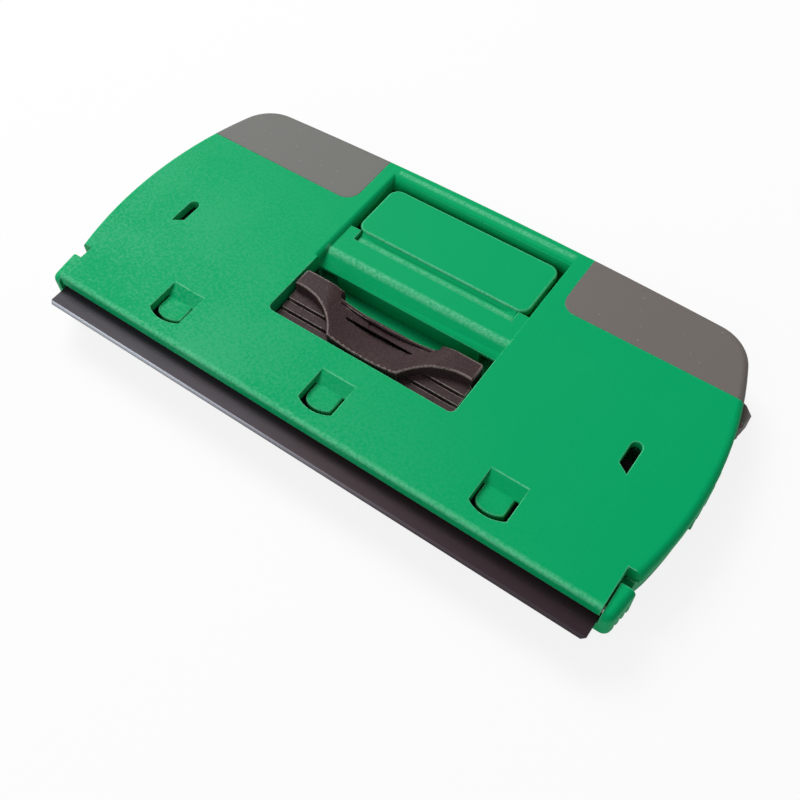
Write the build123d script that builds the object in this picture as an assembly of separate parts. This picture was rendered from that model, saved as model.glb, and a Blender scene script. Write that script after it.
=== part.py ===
from build123d import *
import os
from math import atan2, cos, degrees, radians, sin, sqrt

# A hob scraper with a blade that slides out of a flat two-shell body.
# Lengths are millimetres. While the pieces are built, X runs across the body,
# Y = 0 is the cover's front lip with +Y towards the rear, and Z = 0 is the
# cover's flat top. The last step moves all pieces so that the origin is at
# the middle of the flat underside.

# Blade
BLADE_WIDTH = 101.0
BLADE_DEPTH = 18.0
BLADE_THICKNESS = 0.35
BLADE_TOP_Z = -3.1
BLADE_REACH = 3.72
BLADE_BEVEL = 0.6
BLADE_EDGE_THICKNESS = 0.06
BLADE_CORNER_CHAMFER = 0.6
BLADE_TRAVEL = 3.0
BLADE_SIDE_GAP = 0.2
BLADE_HOLE_RADIUS = 1.6
BLADE_HOLE_FROM_END = 12.5
BLADE_HOLE_FROM_REAR = 3.4
BLADE_NOTCH_WIDTH = 12.0
BLADE_NOTCH_DEPTH = 2.0

# Whole body
BODY_HEIGHT = 10.0
BODY_SIDE_MARGIN = 3.9
REAR_RIM = 4.0
SIDE_RADIUS = 65.0
SIDE_APEX_Y = 23.0
REAR_RADIUS = 900.0
CORNER_RADIUS = 7.5
WALL = 1.6
OVERRUN = 2.0
PARTING_GAP = 0.1
RUNNING_GAP = 0.05
SLIDING_GAP = 0.25

# Cover
COVER_HEIGHT = 3.0
COVER_EDGE_ROUND = 1.3
COVER_PLATE = 1.6
LIP_HEIGHT = 2.75
LIP_DEPTH = 2.3
LIP_EDGE_ROUND = 0.5
LIP_TOE_CHAMFER = 0.55
SHOULDER_Y = 7.4

# Hinge at the two front ears
HINGE_Y = 1.0
HINGE_Z = -1.8
HINGE_PIN_RADIUS = 0.6
HINGE_PIN_LENGTH = 6.0
HINGE_PIN_IN_EAR = 1.2
HINGE_PIN_CHAMFER = 0.15

# Ears and front land of the lower shell
EAR_WIDTH = 2.4
EAR_TAPER = 0.7
EAR_FRONT_Y = -0.5
EAR_LENGTH = 5.7
EAR_TOP_Z = -0.65
EAR_CROWN_ROUND = 1.2
EAR_SIDE_GAP = 0.2
EAR_FRONT_ROUND = 1.3
EAR_RIB_PITCH = 1.3
EAR_RIB_DEPTH = 0.3
FRONT_TOE_Z = -6.0
FRONT_TOE_LENGTH = 1.2
WEDGE_END_Y = 16.0

# Lower shell
SHELL_INSET = 0.5
SHELL_WALL = 1.8
SHELL_BOTTOM_ROUND = 1.6
SHELL_FLOOR = 1.6
BAY_FLOOR_Z = -6.0
BAY_FRONT_GAP = 0.4
BAY_REAR_GAP = 0.5
SIDE_BULGE = 0.6
SIDE_BULGE_START_Y = 21.5
SIDE_BULGE_END_Y = 34.5
SIDE_FLUTE_COUNT = 5
SIDE_FLUTE_DEPTH = 0.3
CORE_COLUMNS = 3
CORE_WALL = 1.4
CORE_INNER_X = 20.0
FINGER_GROOVE_COUNT = 5
FINGER_GROOVE_WIDTH = 1.4
FINGER_GROOVE_DEPTH = 0.6
FINGER_GROOVE_PITCH = 2.8
FINGER_GROOVE_LENGTH = 60.0
FINGER_GROOVE_START_Y = 19.0

# Grey grip pads at the rear corners
PAD_DEPTH = 12.55
PAD_TO_CHANNEL = 2.86
PAD_INNER_ROUND = 2.7
PAD_THICKNESS = 1.0
BASE_PAD_DEPTH = 15.4
BASE_PAD_PROUD = 0.45
BASE_PAD_KNOB_HEIGHT = 3.6
BASE_PAD_KNOB_ROUND = 0.2
BASE_PAD_RIB_COUNT = 3
BASE_PAD_RIB_START = 6.6
BASE_PAD_RIB_WIDTH = 1.3
BASE_PAD_RIB_PROUD = 0.25
BASE_PAD_RIB_PITCH = 1.9
# Outlines of the two knobs: distance along the pad, and reach out of its wall
BASE_PAD_KNOBS = (
    ((0.15, 0.1), (0.35, 0.55), (0.75, 0.85), (1.0, 0.1)),
    ((1.15, 0.1), (1.5, 1.05), (3.4, 1.85), (4.7, 0.9), (5.1, 0.1)),
)

# Central channel, slider window and bridge
CHANNEL_WIDTH = 35.48
WINDOW_CORNER_ROUND = 1.0
BRIDGE_LENGTH = 7.0
BRIDGE_TOP_Z = -0.75
BRIDGE_RAMP_Z = -2.4
BRIDGE_RAMP_LENGTH = 2.9
BRIDGE_CREASE_ROUND = 1.6
BRIDGE_FRONT_ROUND = 0.2
BRIDGE_PLATE = 1.6
BRIDGE_WALL = 1.4
BRIDGE_WALL_GAP = 0.15
BRIDGE_POCKET_WIDTH = 3.7
BRIDGE_POCKET_TOP_Z = -3.0
CHANNEL_REAR_ROUND = 1.8
CHANNEL_LEFT_ROUND = 1.0
CHANNEL_RIGHT_ROUND = 0.3
COAMING_WALL = 1.2
COAMING_BOTTOM_Z = -2.85

# Windows with blade pressure fingers, and the two sight slots
FINGER_PITCH = 30.5
FINGER_COUNT = 3
FINGER_WINDOW_HALF = 3.1
FINGER_WINDOW_FRONT_Y = 2.85
FINGER_WINDOW_REAR_Y = 9.85
FINGER_WINDOW_BOW = 0.9
FINGER_LEFT_GAP = 0.2
FINGER_RIGHT_GAP = 0.95
FINGER_FRONT_GAP = 1.0
FINGER_TOP_Z = -1.2
FINGER_RAMP_LENGTH = 2.05
FINGER_LEFT_ROUND = 1.7
FINGER_RIGHT_ROUND = 0.5
FINGER_EDGE_ROUND = 0.3
FINGER_FOOT_GAP = 0.12
SLOT_FROM_END = 7.8
SLOT_WIDTH = 1.8
SLOT_LENGTH = 5.55
SLOT_REAR_Y = 25.3
SLOT_OBLIQUE = 1.15

# Ribs under the cover
HOLD_DOWN_X = 30.0
HOLD_DOWN_WIDTH = 1.2
HOLD_DOWN_LENGTH = 5.0
HOLD_DOWN_BLADE_GAP = 1.3
STIFFENER_X = 33.0
STIFFENER_WIDTH = 1.2
STIFFENER_BOTTOM_Z = -2.7
STIFFENER_START = 3.2
STIFFENER_END_GAP = 0.7

# Blade pins, pressed into the carriage
BLADE_PIN_RADIUS = 1.4
BLADE_PIN_TOP_Z = -2.75
BLADE_PIN_BOTTOM_Z = -5.4
BLADE_PIN_CHAMFER = 0.25

# Blade carriage
CARRIAGE_INSET = 3.0
CARRIAGE_FRONT_Y = 7.6
CARRIAGE_REAR_INSET = 0.2
CARRIAGE_FLOOR_GAP = 0.1
CARRIAGE_SHOULDER_RISE = 0.25
CARRIAGE_SHOULDER_GAP = 0.05
CARRIAGE_CORNER_ROUND = 1.5
CARRIAGE_CORE_DEPTH = 1.2
CARRIAGE_CORE_COUNT = 2
CARRIAGE_CORE_LENGTH = 8.0
CARRIAGE_CORE_INNER_X = 17.5
CARRIAGE_CORE_WALL = 1.5

# Click spring under the carriage
CLICK_SPRING_WIDTH = 4.0
CLICK_SPRING_THICKNESS = 0.25
CLICK_SPRING_REACH = 10.1
CLICK_SPRING_FLAT = 4.6
CLICK_BUMP_FROM_REAR = 4.4
CLICK_BUMP_HALF = 1.3
CLICK_BUMP_TOP_Z = -5.45
CLICK_POCKET_DEPTH = 0.9
CLICK_NOTCH_HALF = 0.9
CLICK_NOTCH_DEPTH = 0.65
RIVET_RADIUS = 0.8
RIVET_HEAD_RADIUS = 1.3
RIVET_HEAD_HEIGHT = 0.25
RIVET_DEPTH = 0.9
RIVET_FROM_END = 2.0

# Thumb slider; its outline's places are measured from its front or its rear
SLIDER_SIDE_GAP = 0.64
SLIDER_END_GAP = 0.36
SLIDER_BLADE_GAP = 0.32
SLIDER_STOP_GAP = 0.3
SLIDER_LENGTH = 9.4
SLIDER_MIDDLE_INSET = 1.45
SLIDER_HORN_TOP_Z = 0.4
SLIDER_HORN_INNER_X = 9.6
SLIDER_HORN_CORNER = 0.5
SLIDER_WAIST_HALF = 6.7
SLIDER_WAIST_INSET = 0.62
SLIDER_WAIST_BOW = 0.26
SLIDER_WAIST_BOW_MID_SHARE = 0.75
SLIDER_ARC_MID_X = 10.0
SLIDER_ARC_MID_INSET = 4.25
SLIDER_ARC_END_INSET = 6.0
SLIDER_PAD_Z = -2.05
SLIDER_PAD_STEP = 0.3
SLIDER_PAD_GROOVE = 0.35
SLIDER_PAD_GROOVE_DEPTH = 0.35
SLIDER_PAD_STEP_INSETS = (2.1, 4.0)
SLIDER_SCOOP_RADIUS = 34.0
SLIDER_SCOOP_FRONT_Z = -0.05
SLIDER_SCOOP_REAR_Z = -1.15
SLIDER_SCOOP_LINE_WIDTH = 0.3
SLIDER_SCOOP_LINE_DEPTH = 0.25
SLIDER_REAR_LINE_INSET = 2.2
SLIDER_REAR_LINE_HALF = 8.7
SLIDER_FRONT_LINE_INSET = 4.05
SLIDER_FRONT_LINE_HALF = 6.4
SLIDER_EDGE_ROUND = 0.35
SLIDER_BLEND_ROUND = 4.0
SLIDER_SIDE_ROUND = 0.6
SLIDER_SCREW_FROM_SIDE = 3.7
SLIDER_SCREW_FROM_REAR = 2.2
SCREW_RADIUS = 0.8
SCREW_LENGTH = 3.6
SCREW_HEAD_RADIUS = 1.5
SCREW_HEAD_HEIGHT = 0.8
SCREW_HEAD_SINK = 0.1
SCREW_HEAD_CLEARANCE = 0.15
SCREW_DRIVE_WIDTH = 0.4
SCREW_DRIVE_LENGTH = 1.7
SCREW_DRIVE_DEPTH = 0.4

# Push flap and its lever
FLAP_LENGTH = 11.4
FLAP_SIDE_GAP = 0.94
FLAP_FRONT_GAP = 0.1
FLAP_REAR_GAP = 0.9
FLAP_TOP_Z = -0.85
FLAP_PLATE = 1.5
FLAP_CORNER_ROUND = 2.0
FLAP_EDGE_ROUND = 0.4
NOSE_LENGTH = 2.3
NOSE_SIDE_INSET = 1.5
NOSE_GAP = 0.12
NOSE_TOP_Z = -1.55
NOSE_PLATE = 1.5
NOSE_SLOPE = 0.6
LEVER_WALL = 1.6
LEVER_RIB_COUNT = 4
LEVER_RIB_WIDTH = 1.2
LEVER_RIB_REACH = 5.0
LEVER_RIB_HEIGHT = 1.6
LATCH_PIN_BEFORE_FLAP = 0.3
LATCH_PIN_Z = -6.6
LATCH_PIN_RADIUS = 0.8
LATCH_BARREL_RADIUS = 1.6
LATCH_BARREL_INSET = 2.8
LATCH_POST_WIDTH = 2.4
LATCH_POST_GAP = 0.3
LATCH_POST_TOP_Z = -5.0
LATCH_POST_LENGTH = 4.4
LATCH_PIN_CHAMFER = 0.2

# Leaf spring that lifts the flap
LEAF_SIDE_GAP = 0.37
LEAF_THICKNESS = 0.3
LEAF_BEHIND_FLAP = 1.0
LEAF_FLAT = 5.0
LEAF_TIP_FROM_FLAP_FRONT = 4.0
LEAF_TIP_GAP = 0.12
LEAF_TIP_FLAT = 1.6
LEAF_RIVET_FROM_REAR = 2.3

# How steep a wall's normal and an upright edge are, as shares of a full upright
WALL_NORMAL_SHARE = 0.5
UPRIGHT_EDGE_SHARE = 0.7

# Across the body, from the middle outwards
BLADE_HALF = BLADE_WIDTH / 2
BLADE_HOLE_X = BLADE_HALF - BLADE_HOLE_FROM_END
EAR_INNER_X = BLADE_HALF + BLADE_SIDE_GAP
EAR_OUTER_X = EAR_INNER_X + EAR_WIDTH
LIP_HALF = EAR_INNER_X - EAR_SIDE_GAP
HALF_WIDTH = EAR_INNER_X + BODY_SIDE_MARGIN
BODY_WIDTH = 2 * HALF_WIDTH
CARRIAGE_HALF = BLADE_HALF - CARRIAGE_INSET
SLOT_X = BLADE_HALF - SLOT_FROM_END
CHANNEL_HALF = CHANNEL_WIDTH / 2
PAD_INNER_X = CHANNEL_HALF + PAD_TO_CHANNEL
SLIDER_HALF = CHANNEL_HALF - SLIDER_SIDE_GAP
SLIDER_SCREW_X = SLIDER_HALF - SLIDER_SCREW_FROM_SIDE
FLAP_HALF = CHANNEL_HALF - FLAP_SIDE_GAP
NOSE_HALF = FLAP_HALF - NOSE_SIDE_INSET
LATCH_BARREL_HALF = FLAP_HALF - LATCH_BARREL_INSET
LEVER_RIB_SPACING = (2 * LATCH_BARREL_HALF - LEVER_RIB_WIDTH) / (LEVER_RIB_COUNT - 1)
LEAF_HALF = (LEVER_RIB_SPACING - LEVER_RIB_WIDTH) / 2 - LEAF_SIDE_GAP

# Along the body, from the lip to the rear
EAR_REAR_Y = EAR_FRONT_Y + EAR_LENGTH
BLADE_REAR_Y = BLADE_DEPTH - BLADE_REACH
BLADE_HOLE_Y = BLADE_REAR_Y - BLADE_HOLE_FROM_REAR
HOLD_DOWN_START_Y = BLADE_REAR_Y + BLADE_TRAVEL + HOLD_DOWN_BLADE_GAP
SLIDER_FRONT_Y = BLADE_REAR_Y + SLIDER_BLADE_GAP
SLIDER_REAR_Y = SLIDER_FRONT_Y + SLIDER_LENGTH
SLIDER_WAIST_Y = SLIDER_FRONT_Y + SLIDER_WAIST_INSET
SLIDER_MIDDLE_REAR_Y = SLIDER_REAR_Y - SLIDER_MIDDLE_INSET
SLIDER_SCREW_Y = SLIDER_REAR_Y - SLIDER_SCREW_FROM_REAR
WINDOW_FRONT_Y = SLIDER_FRONT_Y - SLIDER_END_GAP
CARRIAGE_REAR_Y = SLIDER_REAR_Y - CARRIAGE_REAR_INSET
BRIDGE_FRONT_Y = SLIDER_REAR_Y + BLADE_TRAVEL + SLIDER_STOP_GAP
BRIDGE_REAR_Y = BRIDGE_FRONT_Y + BRIDGE_LENGTH
BRIDGE_LAND_Y = BRIDGE_FRONT_Y + BRIDGE_RAMP_LENGTH
BAY_FRONT_Y = CARRIAGE_FRONT_Y - BAY_FRONT_GAP
BAY_REAR_Y = BRIDGE_FRONT_Y + BRIDGE_WALL + BAY_REAR_GAP
CLICK_BUMP_Y = CARRIAGE_REAR_Y - CLICK_BUMP_FROM_REAR
CLICK_SPRING_FRONT_Y = CLICK_BUMP_Y - CLICK_SPRING_REACH
NOSE_FRONT_Y = BRIDGE_REAR_Y + NOSE_GAP
FLAP_FRONT_Y = BRIDGE_REAR_Y + NOSE_LENGTH
FLAP_REAR_Y = FLAP_FRONT_Y + FLAP_LENGTH
FLAP_OPENING_FRONT_Y = FLAP_FRONT_Y - FLAP_FRONT_GAP
FLAP_OPENING_REAR_Y = FLAP_REAR_Y + FLAP_REAR_GAP
LATCH_PIN_Y = FLAP_FRONT_Y - LATCH_PIN_BEFORE_FLAP
LEAF_TIP_Y = FLAP_FRONT_Y + LEAF_TIP_FROM_FLAP_FRONT
LEAF_REAR_Y = FLAP_REAR_Y + LEAF_BEHIND_FLAP
BODY_DEPTH = FLAP_OPENING_REAR_Y + REAR_RIM
PAD_FRONT_Y = BODY_DEPTH - PAD_DEPTH
BASE_PAD_FRONT_Y = BODY_DEPTH - BASE_PAD_DEPTH
SLOT_FRONT_Y = SLOT_REAR_Y - SLOT_LENGTH

# Heights
BLADE_BOTTOM_Z = BLADE_TOP_Z - BLADE_THICKNESS
LAND_Z = BLADE_BOTTOM_Z - PARTING_GAP
SHELL_TOP_Z = -COVER_HEIGHT - PARTING_GAP
FLOOR_Z = SHELL_FLOOR - BODY_HEIGHT
BOTTOM_Z = -BODY_HEIGHT
CARRIAGE_BOTTOM_Z = BAY_FLOOR_Z + CARRIAGE_FLOOR_GAP
CARRIAGE_SHOULDER_Z = BLADE_BOTTOM_Z + CARRIAGE_SHOULDER_RISE
HOLD_DOWN_BOTTOM_Z = CARRIAGE_SHOULDER_Z + PARTING_GAP
FINGER_FOOT_Z = BLADE_TOP_Z + FINGER_FOOT_GAP
CLICK_FLOOR_Z = BAY_FLOOR_Z - CLICK_POCKET_DEPTH


def block(x0, x1, y0, y1, z0, z1):
    """Solid box between two corners."""
    size = Box(x1 - x0, y1 - y0, z1 - z0)
    return Pos((x0 + x1) / 2, (y0 + y1) / 2, (z0 + z1) / 2) * size


def centred(half, y0, y1, z0, z1):
    """Box that spans -half to +half across the body."""
    return block(-half, half, y0, y1, z0, z1)


def prism(sketch, z0, z1):
    """Plan sketch made solid between two heights."""
    return extrude(Pos(0, 0, z0) * sketch, amount=z1 - z0, dir=(0, 0, 1))


def across(points, x0, x1):
    """Side profile in (y, z) made solid between two places across the body."""
    face = make_face(Plane.YZ * Polyline(*points, close=True))
    return extrude(Pos(x0, 0, 0) * face, amount=x1 - x0, dir=(1, 0, 0))


def rod(radius, x0, x1, y, z):
    """Cylinder along X."""
    return Pos((x0 + x1) / 2, y, z) * Rot(0, 90, 0) * Cylinder(radius, x1 - x0)


def post(radius, x, y, z0, z1):
    """Upright cylinder."""
    return Pos(x, y, (z0 + z1) / 2) * Cylinder(radius, z1 - z0)


def flipped(shape):
    """Copy on the other side of the body's middle plane."""
    return mirror(shape, Plane.YZ)


def plan(inset, front):
    """Plan of the body, drawn in by inset, from the line y = front to the rear edge."""
    side = SIDE_RADIUS - inset
    right = Pos(HALF_WIDTH - SIDE_RADIUS, SIDE_APEX_Y) * Circle(side)
    left = Pos(SIDE_RADIUS - HALF_WIDTH, SIDE_APEX_Y) * Circle(side)
    rear = Pos(0, BODY_DEPTH - REAR_RADIUS) * Circle(REAR_RADIUS - inset)
    depth = BODY_DEPTH - front
    band = Pos(0, front + depth / 2) * Rectangle(BODY_WIDTH, depth)
    outline = band & right & left & rear
    corners = outline.vertices().sort_by(Axis.Y)[-2:]
    return fillet(corners, CORNER_RADIUS - inset)


def side_x(y, inset):
    """Half width of the drawn-in plan at a place along the body."""
    reach = SIDE_RADIUS - inset
    return HALF_WIDTH - SIDE_RADIUS + sqrt(reach**2 - (y - SIDE_APEX_Y) ** 2)


def pad_region(front):
    """Plan of the two rear corners, with the rounded inner corner, on both sides."""
    width = BODY_WIDTH - PAD_INNER_X
    depth = BODY_DEPTH + OVERRUN - front
    area = Pos(PAD_INNER_X + width / 2, front + depth / 2) * Rectangle(width, depth)
    inner = area.vertices().sort_by(Axis.X)[:2].sort_by(Axis.Y)[:1]
    area = fillet(inner, PAD_INNER_ROUND)
    return area + mirror(area, Plane.YZ)


def halves(shape):
    """Left and right solids of a mirrored pair."""
    solids = shape.solids().sort_by(Axis.X)
    return solids[0], solids[-1]


def walls(body):
    """Faces of a body that stand upright."""
    return [face for face in body.faces() if abs(face.normal_at().Z) < WALL_NORMAL_SHARE]


def upright(edge):
    """Whether an edge runs up and down."""
    return abs(edge.tangent_at(0.5).Z) > UPRIGHT_EDGE_SHARE


def cover_outer():
    """Outside of the cover, before any opening."""
    body = prism(plan(0, SHOULDER_Y), -COVER_HEIGHT, 0)
    top = body.faces().sort_by(Axis.Z)[-1]
    rim = top.edges().sort_by(Axis.Y)[1:]
    body = fillet(rim, COVER_EDGE_ROUND)
    lip = centred(LIP_HALF, 0, SHOULDER_Y + COVER_EDGE_ROUND, -LIP_HEIGHT, 0)
    front = lip.edges().filter_by(Axis.X).group_by(Axis.Y)[0].sort_by(Axis.Z)
    lip = fillet(front[-1], LIP_EDGE_ROUND)
    toe = lip.edges().filter_by(Axis.X).group_by(Axis.Y)[0].sort_by(Axis.Z)[0]
    return body + chamfer(toe, LIP_TOE_CHAMFER)


def pad_shell(outer, inset, front, z0, z1):
    """Outer layer of a shell over both rear corners."""
    core = prism(plan(inset, 0), z0, z1)
    region = prism(pad_region(front), -BODY_HEIGHT - OVERRUN, OVERRUN)
    return (outer & region) - core


def bowed_plan(x0, x1, front, rear):
    """Plan of a bay with straight sides and a front edge that bows out."""
    side_y = front + FINGER_WINDOW_BOW
    outline = ThreePointArc((x0, side_y), ((x0 + x1) / 2, front), (x1, side_y))
    outline += Polyline((x1, side_y), (x1, rear), (x0, rear), (x0, side_y))
    return make_face(outline)


def finger_window(x):
    """Opening round one pressure finger, with a bowed front."""
    sketch = bowed_plan(
        x - FINGER_WINDOW_HALF, x + FINGER_WINDOW_HALF, FINGER_WINDOW_FRONT_Y, FINGER_WINDOW_REAR_Y
    )
    return prism(sketch, -COVER_HEIGHT - OVERRUN, OVERRUN)


def finger(x):
    """Finger that stands in its window and presses on the blade's back."""
    x0 = x - FINGER_WINDOW_HALF + FINGER_LEFT_GAP
    x1 = x + FINGER_WINDOW_HALF - FINGER_RIGHT_GAP
    sketch = bowed_plan(x0, x1, FINGER_WINDOW_FRONT_Y + FINGER_FRONT_GAP, FINGER_WINDOW_REAR_Y)
    sketch = fillet(sketch.vertices().sort_by(Axis.Y)[:2].sort_by(Axis.X)[0], FINGER_LEFT_ROUND)
    right = [corner for corner in sketch.vertices() if corner.X > x1 - FINGER_RIGHT_ROUND]
    right.sort(key=lambda corner: corner.Y)
    sketch = fillet(right[0], FINGER_RIGHT_ROUND)
    tongue = prism(sketch, FINGER_FOOT_Z, FINGER_TOP_Z)
    top = tongue.faces().sort_by(Axis.Z)[-1]
    rim = top.edges().sort_by(Axis.Y)[:-1]
    tongue = fillet(rim, FINGER_EDGE_ROUND)
    ramp_start = FINGER_WINDOW_REAR_Y - FINGER_RAMP_LENGTH
    ramp = [
        (ramp_start, FINGER_TOP_Z),
        (FINGER_WINDOW_REAR_Y, 0),
        (FINGER_WINDOW_REAR_Y, -COVER_PLATE),
        (ramp_start, -COVER_PLATE),
    ]
    return tongue + across(ramp, x - FINGER_WINDOW_HALF, x + FINGER_WINDOW_HALF)


def sight_slot(side):
    """Slot with a round rear end and an oblique front end, longest on the outside."""
    outer = SLOT_X + SLOT_WIDTH / 2
    inner = SLOT_X - SLOT_WIDTH / 2
    straight_end = SLOT_REAR_Y - SLOT_WIDTH / 2
    outline = Line((outer, straight_end), (outer, SLOT_FRONT_Y))
    outline += Line((outer, SLOT_FRONT_Y), (inner, SLOT_FRONT_Y + SLOT_OBLIQUE))
    outline += Line((inner, SLOT_FRONT_Y + SLOT_OBLIQUE), (inner, straight_end))
    outline += ThreePointArc((inner, straight_end), (SLOT_X, SLOT_REAR_Y), (outer, straight_end))
    slot = prism(make_face(outline), -COVER_HEIGHT, OVERRUN)
    return slot if side > 0 else flipped(slot)


def bridge():
    """Cross piece between slider window and flap: flat top, ramp, and front wall."""
    wall_bottom = BAY_FLOOR_Z + BRIDGE_WALL_GAP
    wall_rear = BRIDGE_FRONT_Y + BRIDGE_WALL
    plate_bottom = BRIDGE_TOP_Z - BRIDGE_PLATE
    outline = Polyline(
        (BRIDGE_FRONT_Y, wall_bottom),
        (BRIDGE_FRONT_Y, BRIDGE_RAMP_Z),
        (BRIDGE_LAND_Y, BRIDGE_TOP_Z),
        (BRIDGE_REAR_Y, BRIDGE_TOP_Z),
        (BRIDGE_REAR_Y, plate_bottom),
        (wall_rear, plate_bottom),
        (wall_rear, wall_bottom),
        (BRIDGE_FRONT_Y, wall_bottom),
    )
    face = make_face(Plane.YZ * outline)
    span = CHANNEL_HALF + COAMING_WALL
    body = extrude(Pos(-span, 0, 0) * face, amount=2 * span, dir=(1, 0, 0))
    edges = body.edges().filter_by(Axis.X).sort_by(Axis.Z)
    body = fillet(edges[-2:].sort_by(Axis.Y)[0], BRIDGE_CREASE_ROUND)
    front = body.edges().filter_by(Axis.X).group_by(Axis.Y)[0].sort_by(Axis.Z)[-1]
    body = fillet(front, BRIDGE_FRONT_ROUND)
    for side in (1, -1):
        x0, x1 = sorted((side * (CHANNEL_HALF - BRIDGE_POCKET_WIDTH), side * CHANNEL_HALF))
        body -= block(
            x0, x1, BRIDGE_FRONT_Y - OVERRUN, wall_rear + OVERRUN,
            wall_bottom - OVERRUN, BRIDGE_POCKET_TOP_Z,
        )
    return body


def channel_cut():
    """Everything taken out of the cover along the middle channel."""
    depth = BRIDGE_LAND_Y + BRIDGE_CREASE_ROUND - WINDOW_FRONT_Y
    middle = WINDOW_FRONT_Y + depth / 2
    window = Pos(0, middle) * Rectangle(CHANNEL_WIDTH, depth)
    front = window.vertices().sort_by(Axis.Y)[:2]
    low = -COVER_HEIGHT - OVERRUN
    cut = prism(fillet(front, WINDOW_CORNER_ROUND), low, OVERRUN)
    cut += centred(CHANNEL_HALF, BRIDGE_FRONT_Y, FLAP_OPENING_FRONT_Y + OVERRUN, BRIDGE_TOP_Z, OVERRUN)
    half = NOSE_HALF + SLIDING_GAP
    cut += centred(half, BRIDGE_REAR_Y, FLAP_OPENING_FRONT_Y + OVERRUN, low, OVERRUN)
    cut += centred(CHANNEL_HALF, FLAP_OPENING_FRONT_Y, FLAP_OPENING_REAR_Y, low, OVERRUN)
    return cut


def coaming():
    """Wall that hangs from the cover all round the channel."""
    front = WINDOW_FRONT_Y - COAMING_WALL
    rear = BODY_DEPTH - WALL
    half = CHANNEL_HALF + COAMING_WALL
    return centred(half, front, rear, COAMING_BOTTOM_Z, -COVER_PLATE)


def top_cover():
    """Hinged cover and its two grip pads."""
    outer = cover_outer()
    pads = pad_shell(outer, PAD_THICKNESS, PAD_FRONT_Y, -COVER_HEIGHT - OVERRUN, -PAD_THICKNESS)
    body = outer - pads
    inside = prism(plan(WALL + PAD_THICKNESS, LIP_DEPTH), -COVER_HEIGHT - OVERRUN, -COVER_PLATE)
    body -= inside & centred(HALF_WIDTH, LIP_DEPTH, BODY_DEPTH, -BODY_HEIGHT, -COVER_PLATE)
    body += coaming()
    body -= channel_cut()
    body += bridge()
    body -= channel_rims()
    for index in range(FINGER_COUNT):
        x = (index - (FINGER_COUNT - 1) / 2) * FINGER_PITCH
        body -= finger_window(x)
        body += finger(x)
    for side in (1, -1):
        body -= sight_slot(side)
        x = side * HOLD_DOWN_X
        body += block(
            x - HOLD_DOWN_WIDTH / 2, x + HOLD_DOWN_WIDTH / 2,
            HOLD_DOWN_START_Y, HOLD_DOWN_START_Y + HOLD_DOWN_LENGTH,
            HOLD_DOWN_BOTTOM_Z, -COVER_PLATE,
        )
        x = side * STIFFENER_X
        body += block(
            x - STIFFENER_WIDTH / 2, x + STIFFENER_WIDTH / 2,
            BRIDGE_FRONT_Y + STIFFENER_START, FLAP_OPENING_REAR_Y - STIFFENER_END_GAP,
            STIFFENER_BOTTOM_Z, -COVER_PLATE,
        )
        body -= hinge_pin(side)
    left, right = halves(pads)
    return body, left, right


def rim_profile(width, depth):
    """Space above a rounded rim, in its cross-section from the channel outwards."""
    outline = TangentArc((width, 0), (0, -depth), tangent=(-1, 0))
    outline += Polyline((0, -depth), (0, OVERRUN), (width, OVERRUN), (width, 0))
    return make_face(outline)


def channel_rims():
    """Rounded rims of the channel: soft at the left and at the rear, crisp at the right."""
    length = BODY_DEPTH - BRIDGE_FRONT_Y
    rear = Plane.YZ * rim_profile(CHANNEL_REAR_ROUND, CHANNEL_REAR_ROUND)
    rear = extrude(Pos(-BODY_WIDTH / 2, FLAP_OPENING_REAR_Y, 0) * rear, amount=BODY_WIDTH, dir=(1, 0, 0))
    cut = rear & centred(CHANNEL_HALF, 0, BODY_DEPTH, -BODY_HEIGHT, OVERRUN)
    for side, width in ((-1, CHANNEL_LEFT_ROUND), (1, CHANNEL_RIGHT_ROUND)):
        depth = min(width, -BRIDGE_TOP_Z)
        rim = Plane.XZ * rim_profile(width, depth)
        rim = extrude(Pos(CHANNEL_HALF, BRIDGE_FRONT_Y, 0) * rim, amount=length, dir=(0, 1, 0))
        ahead = rim & centred(BODY_WIDTH, 0, FLAP_OPENING_REAR_Y, -BODY_HEIGHT, OVERRUN)
        piece = ahead + (rim & rear)
        cut += piece if side > 0 else flipped(piece)
    return cut


def hinge_pin(side):
    """Steel pin, pressed into the end of the cover's lip and running in the ear."""
    x1 = EAR_INNER_X + HINGE_PIN_IN_EAR
    pin = rod(HINGE_PIN_RADIUS, x1 - HINGE_PIN_LENGTH, x1, HINGE_Y, HINGE_Z)
    ends = pin.edges().filter_by(GeomType.CIRCLE)
    pin = chamfer(ends, HINGE_PIN_CHAMFER)
    return pin if side > 0 else flipped(pin)


def wedge(z_offset):
    """Space below the sloping front of the underside."""
    slope_y = EAR_FRONT_Y + FRONT_TOE_LENGTH
    low = -BODY_HEIGHT - OVERRUN
    points = [
        (EAR_FRONT_Y - OVERRUN, low),
        (EAR_FRONT_Y - OVERRUN, FRONT_TOE_Z + z_offset),
        (slope_y, FRONT_TOE_Z + z_offset),
        (WEDGE_END_Y, BOTTOM_Z + z_offset),
        (WEDGE_END_Y, low),
    ]
    return across(points, -BODY_WIDTH, BODY_WIDTH)


def side_bulges():
    """Finger zones on both sides of the lower shell, standing out of its walls."""
    length = SIDE_BULGE_END_Y - SIDE_BULGE_START_Y
    zone = Pos(0, SIDE_BULGE_START_Y + length / 2) * Rectangle(BODY_WIDTH, length)
    bulged = plan(SHELL_INSET - SIDE_BULGE, SHOULDER_Y) & zone
    ring = prism(bulged, BOTTOM_Z + SHELL_BOTTOM_ROUND, SHELL_TOP_Z)
    return ring - prism(plan(SHELL_INSET + SIDE_BULGE, 0), BOTTOM_Z, 0)


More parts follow.
